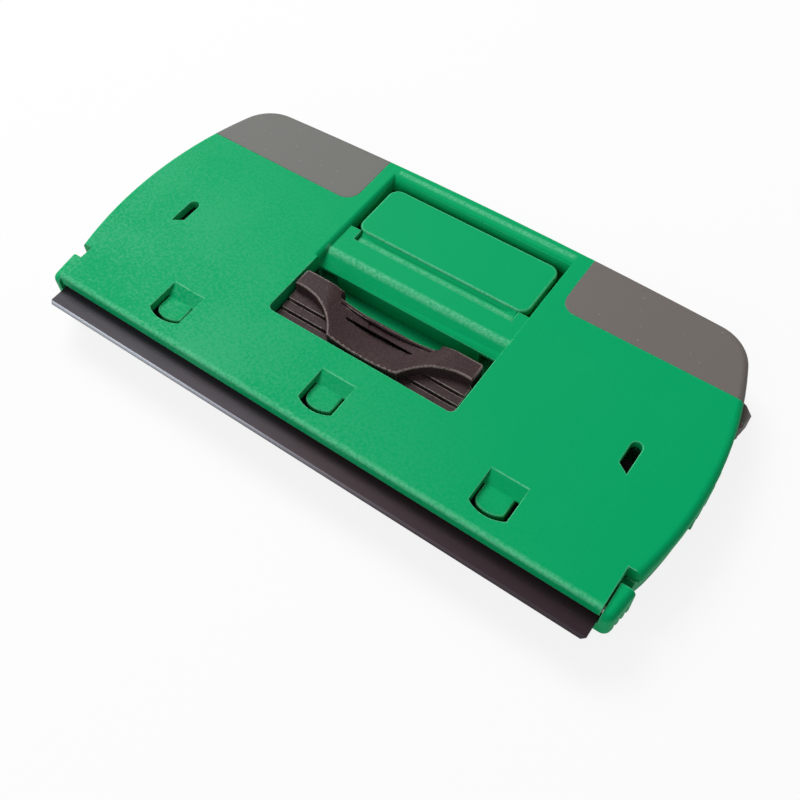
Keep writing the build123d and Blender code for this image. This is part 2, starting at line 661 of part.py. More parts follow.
def side_flutes():
    """Shallow upright flutes in the finger zone, on both sides."""
    pitch = (SIDE_BULGE_END_Y - SIDE_BULGE_START_Y) / SIDE_FLUTE_COUNT
    radius = pitch / 2
    cuts = []
    for index in range(SIDE_FLUTE_COUNT):
        y = SIDE_BULGE_START_Y + (index + 0.5) * pitch
        wall_x = min(side_x(y, SHELL_INSET - SIDE_BULGE), HALF_WIDTH)
        x = wall_x + radius - SIDE_FLUTE_DEPTH
        cut = post(radius, x, y, BOTTOM_Z - OVERRUN, SHELL_TOP_Z + OVERRUN)
        cuts += [cut, flipped(cut)]
    return cuts


def shell_outer():
    """Outside of the lower shell: body, front land and the two ears."""
    body = prism(plan(SHELL_INSET, SHOULDER_Y), BOTTOM_Z, SHELL_TOP_Z)
    bottom = body.faces().sort_by(Axis.Z)[0]
    edges = [edge for edge in bottom.edges() if edge.center().Y > SHOULDER_Y]
    body = fillet(edges, SHELL_BOTTOM_ROUND)
    body += side_bulges()
    body += prism(front_plan(), BOTTOM_Z, LAND_Z)
    for side in (1, -1):
        body += ear(side)
    return body - wedge(0)


def ear_side_x(y):
    """Outer side of the tapered ear at a place along it."""
    return EAR_OUTER_X - EAR_TAPER * (EAR_REAR_Y - y) / EAR_LENGTH


def front_plan():
    """Plan of the front land, with the ears' feet and the notch behind each ear."""
    rear_x = side_x(SHOULDER_Y, SHELL_INSET)
    right = [
        (0, EAR_FRONT_Y),
        (ear_side_x(EAR_FRONT_Y), EAR_FRONT_Y),
        (EAR_OUTER_X, EAR_REAR_Y),
        (rear_x, EAR_REAR_Y),
        (rear_x, SHOULDER_Y),
        (0, SHOULDER_Y),
    ]
    half = make_face(Polyline(*right, close=True))
    corner = half.vertices().group_by(Axis.Y)[0].sort_by(Axis.X)[-1]
    half = fillet(corner, EAR_FRONT_ROUND)
    return half + mirror(half, Plane.YZ)


def ear(side):
    """Rounded hinge ear at a front corner."""
    outline = [
        (EAR_INNER_X, EAR_FRONT_Y),
        (ear_side_x(EAR_FRONT_Y), EAR_FRONT_Y),
        (EAR_OUTER_X, EAR_REAR_Y),
        (EAR_INNER_X, EAR_REAR_Y),
    ]
    sketch = make_face(Polyline(*outline, close=True))
    corner = sketch.vertices().group_by(Axis.Y)[0].sort_by(Axis.X)[-1]
    body = prism(fillet(corner, EAR_FRONT_ROUND), LAND_Z - PARTING_GAP, EAR_TOP_Z)
    top = body.faces().sort_by(Axis.Z)[-1]
    inner = top.edges().sort_by(Axis.X)[0]
    rear = top.edges().sort_by(Axis.Y)[-1]
    crown = [edge for edge in top.edges() if edge not in (inner, rear)]
    body = fillet(crown, EAR_CROWN_ROUND)
    bore = rod(
        HINGE_PIN_RADIUS + RUNNING_GAP, EAR_INNER_X - OVERRUN,
        EAR_INNER_X + HINGE_PIN_IN_EAR + PARTING_GAP, HINGE_Y, HINGE_Z,
    )
    body -= bore
    return body if side > 0 else flipped(body)


def ear_ribs():
    """Fine upright grooves on the outside of both ears, below the blade."""
    first = EAR_FRONT_Y + EAR_FRONT_ROUND
    count = int((EAR_REAR_Y - first) / EAR_RIB_PITCH)
    cuts = []
    for index in range(count):
        y = first + (index + 0.5) * EAR_RIB_PITCH
        cut = block(
            ear_side_x(y) - EAR_RIB_DEPTH, EAR_OUTER_X + OVERRUN,
            y - EAR_RIB_PITCH / 4, y + EAR_RIB_PITCH / 4,
            BOTTOM_Z, LAND_Z,
        )
        cuts += [cut, flipped(cut)]
    return cuts


def carriage_bay():
    """Bay that the carriage slides in, with the wider and shallower bay of the blade."""
    half = CARRIAGE_HALF + SLIDING_GAP
    bay = centred(half, BAY_FRONT_Y, BAY_REAR_Y, BAY_FLOOR_Z, SHELL_TOP_Z + OVERRUN)
    blade_rear = BLADE_REAR_Y + BLADE_TRAVEL + SLIDING_GAP
    return bay + centred(EAR_INNER_X, BAY_FRONT_Y, blade_rear, LAND_Z, SHELL_TOP_Z + OVERRUN)


def floor_cores():
    """Pockets in the bay's floor that keep its wall even, in rows left and right."""
    usable = CARRIAGE_HALF - CORE_WALL - CORE_INNER_X
    width = (usable - (CORE_COLUMNS - 1) * CORE_WALL) / CORE_COLUMNS
    cuts = []
    for index in range(CORE_COLUMNS):
        x0 = CORE_INNER_X + index * (width + CORE_WALL)
        cut = block(
            x0, x0 + width, WEDGE_END_Y + CORE_WALL, BAY_REAR_Y - CORE_WALL,
            FLOOR_Z, BAY_FLOOR_Z + OVERRUN,
        )
        cuts += [cut, flipped(cut)]
    return cuts


def latch_posts():
    """Two posts on the floor that hold the ends of the latch pin."""
    x0 = LATCH_BARREL_HALF + LATCH_POST_GAP
    y0 = LATCH_PIN_Y - LATCH_POST_LENGTH / 2
    body = block(
        x0, x0 + LATCH_POST_WIDTH, y0, y0 + LATCH_POST_LENGTH,
        FLOOR_Z - SHELL_FLOOR / 2, LATCH_POST_TOP_Z,
    )
    return body + flipped(body)


def lower_shell():
    """Lower shell and its two ribbed grip pads."""
    outer = shell_outer()
    for cut in side_flutes():
        outer -= cut
    for cut in ear_ribs():
        outer -= cut
    inset = SHELL_INSET + PAD_THICKNESS
    core = prism(plan(inset, 0), BOTTOM_Z - OVERRUN, SHELL_TOP_Z + OVERRUN)
    region = prism(pad_region(BASE_PAD_FRONT_Y), BOTTOM_Z - OVERRUN, SHELL_TOP_Z + OVERRUN)
    pads = (outer & region) - core
    body = outer - pads
    pads += (proud_ring() & region) - core
    for rib in pad_ribs():
        pads += rib
    body -= carriage_bay()
    wall = SHELL_WALL + PAD_THICKNESS
    cavity = prism(plan(SHELL_INSET + wall, BAY_REAR_Y), FLOOR_Z, SHELL_TOP_Z + OVERRUN)
    body -= cavity
    for cut in floor_cores():
        body -= cut
    body += latch_posts()
    body -= latch_pin()
    half = CLICK_SPRING_WIDTH / 2 + SLIDING_GAP
    body -= centred(
        half, CLICK_SPRING_FRONT_Y - SLIDING_GAP, CLICK_BUMP_Y + CLICK_BUMP_HALF + 2 * SLIDING_GAP,
        CLICK_FLOOR_Z, BAY_FLOOR_Z + OVERRUN,
    )
    for rivet in rivets():
        body -= rivet
    for index in range(FINGER_GROOVE_COUNT):
        y = FINGER_GROOVE_START_Y + index * FINGER_GROOVE_PITCH
        body -= finger_groove(y)
    left, right = halves(pads)
    return body, left, right


def finger_groove(y):
    """Round-ended groove across the underside."""
    radius = FINGER_GROOVE_WIDTH / 2
    slot = Pos(0, y) * SlotOverall(FINGER_GROOVE_LENGTH, 2 * radius)
    return prism(slot, BOTTOM_Z - OVERRUN, BOTTOM_Z + FINGER_GROOVE_DEPTH)


def proud_ring():
    """Layer that stands out of the lower shell's wall, with a sloping lower edge."""
    sketch = plan(SHELL_INSET - BASE_PAD_PROUD, SHOULDER_Y)
    ring = prism(sketch, BOTTOM_Z + SHELL_BOTTOM_ROUND, SHELL_TOP_Z)
    bottom = ring.faces().sort_by(Axis.Z)[0]
    edges = [edge for edge in bottom.edges() if edge.center().Y > SHOULDER_Y]
    return chamfer(edges, BASE_PAD_PROUD)


def pad_ribs():
    """Two knobs at the front of each lower grip pad, and low ribs behind them."""
    ribs = []
    for outline in BASE_PAD_KNOBS:
        points = []
        for along, reach in outline:
            y = BASE_PAD_FRONT_Y + along
            points.append((side_x(y, SHELL_INSET - BASE_PAD_PROUD) + reach, y))
        for y in (points[-1][1], points[0][1]):
            points.append((side_x(y, SHELL_INSET) - PAD_THICKNESS / 2, y))
        sketch = make_face(Polyline(*points, close=True))
        knob = prism(sketch, SHELL_TOP_Z - BASE_PAD_KNOB_HEIGHT, SHELL_TOP_Z)
        outer = [face for face in walls(knob) if face.center().X > side_x(face.center().Y, SHELL_INSET)]
        edges = [edge for face in outer for edge in face.edges() if not upright(edge)]
        knob = fillet(edges, BASE_PAD_KNOB_ROUND)
        ribs += [knob, flipped(knob)]
    for index in range(BASE_PAD_RIB_COUNT):
        y = BASE_PAD_FRONT_Y + BASE_PAD_RIB_START + index * BASE_PAD_RIB_PITCH
        x = side_x(y, SHELL_INSET - BASE_PAD_PROUD)
        rib = block(
            x - PAD_THICKNESS / 2, x + BASE_PAD_RIB_PROUD,
            y - BASE_PAD_RIB_WIDTH / 2, y + BASE_PAD_RIB_WIDTH / 2,
            SHELL_TOP_Z - BASE_PAD_KNOB_HEIGHT, SHELL_TOP_Z,
        )
        outer = rib.faces().sort_by(Axis.X)[-1]
        rib = fillet(outer.edges(), BASE_PAD_RIB_PROUD / 3)
        ribs += [rib, flipped(rib)]
    return ribs


def blade():
    """Blade with a ground bevel on both faces, two holes and a rear notch."""
    front = -BLADE_REACH
    middle_z = (BLADE_TOP_Z + BLADE_BOTTOM_Z) / 2
    half_edge = BLADE_EDGE_THICKNESS / 2
    points = [
        (front, middle_z + half_edge),
        (front + BLADE_BEVEL, BLADE_TOP_Z),
        (BLADE_REAR_Y, BLADE_TOP_Z),
        (BLADE_REAR_Y, BLADE_BOTTOM_Z),
        (front + BLADE_BEVEL, BLADE_BOTTOM_Z),
        (front, middle_z - half_edge),
    ]
    body = across(points, -BLADE_HALF, BLADE_HALF)
    low = BLADE_BOTTOM_Z - OVERRUN
    high = BLADE_TOP_Z + OVERRUN
    for side in (1, -1):
        tip = [
            (side * BLADE_HALF, front),
            (side * (BLADE_HALF - BLADE_CORNER_CHAMFER), front),
            (side * BLADE_HALF, front + BLADE_CORNER_CHAMFER),
        ]
        body -= prism(make_face(Polyline(*tip, close=True)), low, high)
        body -= post(BLADE_HOLE_RADIUS, side * BLADE_HOLE_X, BLADE_HOLE_Y, low, high)
    return body - centred(
        BLADE_NOTCH_WIDTH / 2, BLADE_REAR_Y - BLADE_NOTCH_DEPTH, BLADE_REAR_Y + OVERRUN, low, high
    )


def blade_pin(side):
    """Steel pin that locates the blade on the carriage."""
    pin = post(BLADE_PIN_RADIUS, side * BLADE_HOLE_X, BLADE_HOLE_Y, BLADE_PIN_BOTTOM_Z, BLADE_PIN_TOP_Z)
    top = pin.edges().filter_by(GeomType.CIRCLE).sort_by(Axis.Z)[-1]
    return chamfer(top, BLADE_PIN_CHAMFER)


def slider_screws():
    """Two small flat-headed screws that hold the slider from below."""
    screws = []
    head_bottom = CARRIAGE_BOTTOM_Z + SCREW_HEAD_SINK
    head_top = head_bottom + SCREW_HEAD_HEIGHT
    for side in (-1, 1):
        x = side * SLIDER_SCREW_X
        head = post(SCREW_HEAD_RADIUS, x, SLIDER_SCREW_Y, head_bottom, head_top)
        shank = post(SCREW_RADIUS, x, SLIDER_SCREW_Y, head_top, head_top + SCREW_LENGTH)
        drive = block(
            x - SCREW_DRIVE_LENGTH / 2, x + SCREW_DRIVE_LENGTH / 2,
            SLIDER_SCREW_Y - SCREW_DRIVE_WIDTH / 2, SLIDER_SCREW_Y + SCREW_DRIVE_WIDTH / 2,
            head_bottom - OVERRUN, head_bottom + SCREW_DRIVE_DEPTH,
        )
        cross = block(
            x - SCREW_DRIVE_WIDTH / 2, x + SCREW_DRIVE_WIDTH / 2,
            SLIDER_SCREW_Y - SCREW_DRIVE_LENGTH / 2, SLIDER_SCREW_Y + SCREW_DRIVE_LENGTH / 2,
            head_bottom - OVERRUN, head_bottom + SCREW_DRIVE_DEPTH,
        )
        screws.append(head + shank - drive - cross)
    return screws


def screw_pockets():
    """Clearance for the screw heads, and the holes that the shanks fill."""
    cuts = []
    head_top = CARRIAGE_BOTTOM_Z + SCREW_HEAD_SINK + SCREW_HEAD_HEIGHT
    for side in (-1, 1):
        x = side * SLIDER_SCREW_X
        low = CARRIAGE_BOTTOM_Z - OVERRUN
        pocket_radius = SCREW_HEAD_RADIUS + SCREW_HEAD_CLEARANCE
        cuts.append(post(pocket_radius, x, SLIDER_SCREW_Y, low, head_top))
        cuts.append(post(SCREW_RADIUS, x, SLIDER_SCREW_Y, head_top, head_top + SCREW_LENGTH))
    return cuts


def carriage():
    """Flat tray that carries the blade in front and the slider behind."""
    length = CARRIAGE_REAR_Y - CARRIAGE_FRONT_Y
    sketch = Pos(0, CARRIAGE_FRONT_Y + length / 2) * Rectangle(2 * CARRIAGE_HALF, length)
    sketch = fillet(sketch.vertices(), CARRIAGE_CORNER_ROUND)
    body = prism(sketch, CARRIAGE_BOTTOM_Z, CARRIAGE_SHOULDER_Z)
    seat_end = BLADE_REAR_Y + CARRIAGE_SHOULDER_GAP
    body -= centred(BODY_WIDTH, -OVERRUN, seat_end, BLADE_BOTTOM_Z, CARRIAGE_SHOULDER_Z + OVERRUN)
    for side in (1, -1):
        body -= blade_pin(side)
    for cut in screw_pockets():
        body -= cut
    for shift in (0, BLADE_TRAVEL):
        y = CLICK_BUMP_Y - shift
        notch = [
            (y - CLICK_NOTCH_HALF, CARRIAGE_BOTTOM_Z - OVERRUN),
            (y - CLICK_NOTCH_HALF, CARRIAGE_BOTTOM_Z),
            (y, CARRIAGE_BOTTOM_Z + CLICK_NOTCH_DEPTH),
            (y + CLICK_NOTCH_HALF, CARRIAGE_BOTTOM_Z),
            (y + CLICK_NOTCH_HALF, CARRIAGE_BOTTOM_Z - OVERRUN),
        ]
        half = CLICK_SPRING_WIDTH / 2 + SLIDING_GAP
        body -= across(notch, -half, half)
    usable = CARRIAGE_HALF - CARRIAGE_CORE_WALL - CARRIAGE_CORE_INNER_X
    width = (usable - (CARRIAGE_CORE_COUNT - 1) * CARRIAGE_CORE_WALL) / CARRIAGE_CORE_COUNT
    start = CARRIAGE_REAR_Y - CARRIAGE_CORE_WALL - CARRIAGE_CORE_LENGTH
    for index in range(CARRIAGE_CORE_COUNT):
        x0 = CARRIAGE_CORE_INNER_X + index * (width + CARRIAGE_CORE_WALL)
        cut = block(
            x0, x0 + width, start, start + CARRIAGE_CORE_LENGTH,
            CARRIAGE_BOTTOM_Z - OVERRUN, CARRIAGE_BOTTOM_Z + CARRIAGE_CORE_DEPTH,
        )
        body -= cut
        body -= flipped(cut)
    return body


def click_spring():
    """Spring strip in the floor whose bump drops into the carriage's notches."""
    low = CLICK_FLOOR_Z
    high = low + CLICK_SPRING_THICKNESS
    flat_end = CLICK_SPRING_FRONT_Y + CLICK_SPRING_FLAT
    bump_front = CLICK_BUMP_Y - CLICK_BUMP_HALF
    bump_rear = CLICK_BUMP_Y + CLICK_BUMP_HALF
    shelf = (BAY_FLOOR_Z + low) / 2
    shelf_low = shelf - CLICK_SPRING_THICKNESS
    points = [
        (CLICK_SPRING_FRONT_Y, low),
        (flat_end, low),
        (bump_front, shelf_low),
        (CLICK_BUMP_Y, CLICK_BUMP_TOP_Z - CLICK_SPRING_THICKNESS),
        (bump_rear, shelf_low),
        (bump_rear, shelf),
        (CLICK_BUMP_Y, CLICK_BUMP_TOP_Z),
        (bump_front, shelf),
        (flat_end, high),
        (CLICK_SPRING_FRONT_Y, high),
    ]
    half = CLICK_SPRING_WIDTH / 2
    body = across(points, -half, half)
    return body - rivet(CLICK_SPRING_FRONT_Y + RIVET_FROM_END, high)


def rivet(y, seat_z):
    """Small rivet with a flat round head on the strip's top face."""
    shank = post(RIVET_RADIUS, 0, y, seat_z - RIVET_DEPTH, seat_z)
    head = post(RIVET_HEAD_RADIUS, 0, y, seat_z, seat_z + RIVET_HEAD_HEIGHT)
    rim = head.edges().filter_by(GeomType.CIRCLE).sort_by(Axis.Z)[-1]
    return shank + chamfer(rim, RIVET_HEAD_HEIGHT / 2)


def rivets():
    """Rivet of the click spring and rivet of the leaf spring."""
    click = rivet(CLICK_SPRING_FRONT_Y + RIVET_FROM_END, CLICK_FLOOR_Z + CLICK_SPRING_THICKNESS)
    leaf = rivet(LEAF_REAR_Y - LEAF_RIVET_FROM_REAR, FLOOR_Z + LEAF_THICKNESS)
    return click, leaf


def leaf_spring():
    """Bent strip, riveted to the floor, whose tip lies just under the flap."""
    low = FLOOR_Z
    high = low + LEAF_THICKNESS
    bend_y = LEAF_REAR_Y - LEAF_FLAT
    tip_top = FLAP_TOP_Z - FLAP_PLATE - LEAF_TIP_GAP
    tip_low = tip_top - LEAF_THICKNESS
    tip_end = LEAF_TIP_Y - LEAF_TIP_FLAT
    points = [
        (LEAF_REAR_Y, low),
        (bend_y, low),
        (LEAF_TIP_Y, tip_low),
        (tip_end, tip_low),
        (tip_end, tip_top),
        (LEAF_TIP_Y, tip_top),
        (bend_y, high),
        (LEAF_REAR_Y, high),
    ]
    body = across(points, -LEAF_HALF, LEAF_HALF)
    return body - rivet(LEAF_REAR_Y - LEAF_RIVET_FROM_REAR, high)


def bow_tie_plan():
    """Plan of the slider's raised part: bowed waist, concave arcs, wide horns."""
    waist = (SLIDER_WAIST_HALF, SLIDER_WAIST_Y)
    arc_mid = (SLIDER_ARC_MID_X, SLIDER_FRONT_Y + SLIDER_ARC_MID_INSET)
    arc_end = (SLIDER_HALF, SLIDER_FRONT_Y + SLIDER_ARC_END_INSET)
    bow = (SLIDER_WAIST_HALF / 2, SLIDER_WAIST_Y - SLIDER_WAIST_BOW * SLIDER_WAIST_BOW_MID_SHARE)
    front = (0, SLIDER_WAIST_Y - SLIDER_WAIST_BOW)
    outline = ThreePointArc(front, bow, waist)
    outline += ThreePointArc(waist, arc_mid, arc_end)
    outline += Polyline(
        arc_end,
        (SLIDER_HALF, SLIDER_REAR_Y),
        (0, SLIDER_REAR_Y),
        front,
    )
    right = make_face(outline)
    return right + mirror(right, Plane.YZ)


def scoop(extra):
    """Shallow trough for the thumb, deeper towards the rear."""
    run = SLIDER_MIDDLE_REAR_Y - SLIDER_WAIST_Y
    drop = SLIDER_SCOOP_FRONT_Z - SLIDER_SCOOP_REAR_Z
    tilt = degrees(atan2(drop, run))
    radius = SLIDER_SCOOP_RADIUS + extra
    middle_y = SLIDER_WAIST_Y + run / 2
    middle_z = (SLIDER_SCOOP_FRONT_Z + SLIDER_SCOOP_REAR_Z) / 2 + SLIDER_SCOOP_RADIUS
    trough = Rot(90, 0, 0) * Cylinder(radius, 2 * SLIDER_HALF)
    return Pos(0, middle_y, middle_z) * Rot(-tilt, 0, 0) * trough


def thumb_slider():
    """Slider that is moved with the thumb: low front pads and a raised bow tie."""
    sketch = Pos(0, SLIDER_FRONT_Y + SLIDER_LENGTH / 2)
    sketch = sketch * Rectangle(2 * SLIDER_HALF, SLIDER_LENGTH)
    sketch = fillet(sketch.vertices(), SLIDER_SIDE_ROUND)
    body = prism(sketch, CARRIAGE_SHOULDER_Z, SLIDER_PAD_Z)
    step_z = SLIDER_PAD_Z
    grooves = []
    for inset in SLIDER_PAD_STEP_INSETS:
        step_y = SLIDER_FRONT_Y + inset
        groove_low = step_z - SLIDER_PAD_GROOVE_DEPTH
        grooves.append(centred(BODY_WIDTH, step_y - SLIDER_PAD_GROOVE, step_y, groove_low, OVERRUN))
        step = centred(SLIDER_HALF, step_y, SLIDER_REAR_Y, SLIDER_PAD_Z, step_z + SLIDER_PAD_STEP)
        body += step & prism(sketch, SLIDER_PAD_Z, 0)
        step_z += SLIDER_PAD_STEP
    for groove in grooves:
        body -= groove
    raised = prism(bow_tie_plan(), CARRIAGE_SHOULDER_Z, SLIDER_HORN_TOP_Z)
    rear = raised.edges().filter_by(Axis.Z).group_by(Axis.Y)[-1]
    raised = fillet(rear, SLIDER_SIDE_ROUND)
    raised -= scoop(0)
    tops = raised.faces().filter_by(Axis.Z).group_by(Axis.Z)[-1]
    crease = [face.edges().sort_by(lambda edge: abs(edge.center().X))[0] for face in tops]
    raised = fillet(crease, SLIDER_BLEND_ROUND)
    rim = [edge for face in walls(raised) for edge in face.edges() if not upright(edge)]
    raised = fillet([edge for edge in rim if edge.center().Z > SLIDER_PAD_Z], SLIDER_EDGE_ROUND)
    lines = (
        (SLIDER_REAR_LINE_INSET, SLIDER_REAR_LINE_HALF),
        (SLIDER_FRONT_LINE_INSET, SLIDER_FRONT_LINE_HALF),
    )
    for inset, reach in lines:
        y = SLIDER_REAR_Y - inset
        line = centred(
            reach, y - SLIDER_SCOOP_LINE_WIDTH / 2, y + SLIDER_SCOOP_LINE_WIDTH / 2,
            SLIDER_PAD_Z, OVERRUN,
        )
        raised -= line & scoop(SLIDER_SCOOP_LINE_DEPTH)
    body += raised
    gap = Pos(0, SLIDER_MIDDLE_REAR_Y + OVERRUN / 2)
    gap = gap * Rectangle(2 * SLIDER_HORN_INNER_X, OVERRUN)
    inner = gap.vertices().sort_by(Axis.Y)[:2]
    notch = prism(fillet(inner, SLIDER_HORN_CORNER), CARRIAGE_SHOULDER_Z - OVERRUN, OVERRUN)
    body -= notch
    for cut in screw_pockets():
        body -= cut
    return body


def latch_lever():
    """Push flap, nose strip and pivot barrel in one moulding."""
    sketch = Pos(0, FLAP_FRONT_Y + FLAP_LENGTH / 2) * Rectangle(2 * FLAP_HALF, FLAP_LENGTH)
    sketch = fillet(sketch.vertices(), FLAP_CORNER_ROUND)
    flap = prism(sketch, FLAP_TOP_Z - FLAP_PLATE, FLAP_TOP_Z)
    top = flap.faces().sort_by(Axis.Z)[-1]
    flap = fillet(top.edges(), FLAP_EDGE_ROUND)
    overlap_y = FLAP_FRONT_Y + FLAP_CORNER_ROUND
    nose = centred(NOSE_HALF, NOSE_FRONT_Y, overlap_y, NOSE_TOP_Z - NOSE_PLATE, NOSE_TOP_Z)
    body = flap + nose
    slope_front = FLAP_FRONT_Y - NOSE_SLOPE
    slope_rear = FLAP_FRONT_Y + FLAP_EDGE_ROUND / 2
    slope = [
        (slope_front, NOSE_TOP_Z),
        (slope_rear, FLAP_TOP_Z - FLAP_EDGE_ROUND / 2),
        (slope_rear, NOSE_TOP_Z - NOSE_PLATE / 2),
        (slope_front, NOSE_TOP_Z - NOSE_PLATE / 2),
    ]
    body += across(slope, -NOSE_HALF, NOSE_HALF)
    half = LATCH_BARREL_HALF
    wall_front = LATCH_PIN_Y - LEVER_WALL / 2
    wall_top = NOSE_TOP_Z - NOSE_PLATE / 2
    body += centred(half, wall_front, wall_front + LEVER_WALL, LATCH_PIN_Z, wall_top)
    body += rod(LATCH_BARREL_RADIUS, -half, half, LATCH_PIN_Y, LATCH_PIN_Z)
    top_z = FLAP_TOP_Z - FLAP_PLATE / 2
    low_z = FLAP_TOP_Z - FLAP_PLATE - LEVER_RIB_HEIGHT
    rear_y = wall_front + LEVER_WALL + LEVER_RIB_REACH
    gusset = [
        (wall_front, top_z),
        (rear_y, top_z),
        (rear_y, FLAP_TOP_Z - FLAP_PLATE),
        (wall_front, low_z),
    ]
    for index in range(LEVER_RIB_COUNT):
        x0 = index * LEVER_RIB_SPACING - half
        body += across(gusset, x0, x0 + LEVER_RIB_WIDTH)
    bore = rod(LATCH_PIN_RADIUS + RUNNING_GAP, -BODY_WIDTH, BODY_WIDTH, LATCH_PIN_Y, LATCH_PIN_Z)
    return body - bore


def latch_pin():
    """Steel pin through the lever's barrel, pressed into the two posts."""
    half = LATCH_BARREL_HALF + LATCH_POST_GAP + LATCH_POST_WIDTH
    pin = rod(LATCH_PIN_RADIUS, -half, half, LATCH_PIN_Y, LATCH_PIN_Z)
    ends = pin.edges().filter_by(GeomType.CIRCLE)
    return chamfer(ends, LATCH_PIN_CHAMFER)


def build():
    """All pieces by node name, in the working frame."""
    cover, cover_left, cover_right = top_cover()
    shell, shell_left, shell_right = lower_shell()
    click_rivet, leaf_rivet = rivets()
    return {
        "top_cover": cover,
        "cover_grip_left": cover_left,
        "cover_grip_right": cover_right,
        "lower_shell": shell,
        "base_grip_left": shell_left,
        "base_grip_right": shell_right,
        "hinge_pin_left": hinge_pin(-1),
        "hinge_pin_right": hinge_pin(1),
        "latch_lever": latch_lever(),
        "latch_pin": latch_pin(),
        "latch_spring": leaf_spring(),
        "latch_spring_rivet": leaf_rivet,
        "click_spring": click_spring(),
        "click_spring_rivet": click_rivet,
        "blade_carriage": carriage(),
        "blade": blade(),
        "blade_pin_left": blade_pin(-1),
        "blade_pin_right": blade_pin(1),
        "thumb_slider": thumb_slider(),
        "slider_screws": Compound(slider_screws()),
    }


if __name__ == "__main__":
    os.makedirs("parts", exist_ok=True)
    middle_y = (BODY_DEPTH - BLADE_REACH) / 2
    placed = Pos(0, -middle_y, BODY_HEIGHT)
    for node, shape in build().items():
        export_step(placed * shape, f"parts/{node}.step")
        print(node, len(shape.solids()), round(sum(solid.volume for solid in shape.solids()), 1))
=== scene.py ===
"""Ceramic hob scraper: fine forms, finishes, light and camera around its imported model.

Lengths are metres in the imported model's frame: X runs along the blade, +Y points to
the rear of the body and +Z up from the flat underside.
"""

import itertools
import logging
import math
from collections.abc import Callable, Iterable, Sequence
from dataclasses import dataclass, field
from enum import Enum

import bmesh
import bpy
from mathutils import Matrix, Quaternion, Vector
from mathutils.bvhtree import BVHTree
from mathutils.kdtree import KDTree


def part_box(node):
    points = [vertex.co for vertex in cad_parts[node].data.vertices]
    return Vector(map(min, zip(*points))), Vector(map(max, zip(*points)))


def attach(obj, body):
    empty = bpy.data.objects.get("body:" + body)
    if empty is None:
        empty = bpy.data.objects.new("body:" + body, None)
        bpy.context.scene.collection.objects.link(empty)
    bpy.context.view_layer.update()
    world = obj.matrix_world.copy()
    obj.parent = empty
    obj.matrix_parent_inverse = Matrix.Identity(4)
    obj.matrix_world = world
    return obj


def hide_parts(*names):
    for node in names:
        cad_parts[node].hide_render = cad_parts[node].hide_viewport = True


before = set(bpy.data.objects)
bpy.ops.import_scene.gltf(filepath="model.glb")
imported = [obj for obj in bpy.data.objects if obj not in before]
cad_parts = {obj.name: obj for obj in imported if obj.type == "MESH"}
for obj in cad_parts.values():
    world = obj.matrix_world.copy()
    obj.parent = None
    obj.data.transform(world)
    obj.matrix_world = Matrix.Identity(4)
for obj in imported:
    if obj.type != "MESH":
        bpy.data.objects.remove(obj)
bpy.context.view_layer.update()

MM = 0.001
LOG = logging.getLogger("hob_scraper")

Colour = tuple[float, float, float]
Feed = "Signal | float | Sequence[float]"


class Body(Enum):
    """The bodies that move against each other."""

    BASE = "base"
    COVER = "cover"
    LATCH = "latch"
    SLIDER = "blade_slider"


class Slot(Enum):
    """Names of the material slots."""

    COVER = "cover_plastic"
    SHELL = "shell_plastic"
    RUBBER = "grip_rubber"
    SLIDER = "slider_plastic"
    CARRIAGE = "carriage_plastic"
    BLADE = "blade_steel"
    PIN = "pin_steel"
    SPRING = "spring_steel"


class Signal:
    """A value, colour or vector inside a material, used in Python sums."""

    def __init__(self, paint: "Paint", socket: bpy.types.NodeSocket) -> None:
        """Wrap an output socket.

        Args:
            paint: The material that the socket belongs to.
            socket: The output that carries the value.
        """
        self.paint = paint
        self.socket = socket

    def __add__(self, other: "Signal | float") -> "Signal":
        """Sum of two values."""
        return self.paint.maths("ADD", self, other)

    def __sub__(self, other: "Signal | float") -> "Signal":
        """Difference of two values."""
        return self.paint.maths("SUBTRACT", self, other)

    def __rsub__(self, other: float) -> "Signal":
        """A number less this value."""
        return self.paint.maths("SUBTRACT", other, self)

    def __mul__(self, other: "Signal | float") -> "Signal":
        """Product of two values."""
        return self.paint.maths("MULTIPLY", self, other)

    def __truediv__(self, other: "Signal | float") -> "Signal":
        """Quotient of two values."""
        return self.paint.maths("DIVIDE", self, other)

    def __abs__(self) -> "Signal":
        """Size of this value without its sign."""
        return self.paint.maths("ABSOLUTE", self)

    __radd__ = __add__
    __rmul__ = __mul__


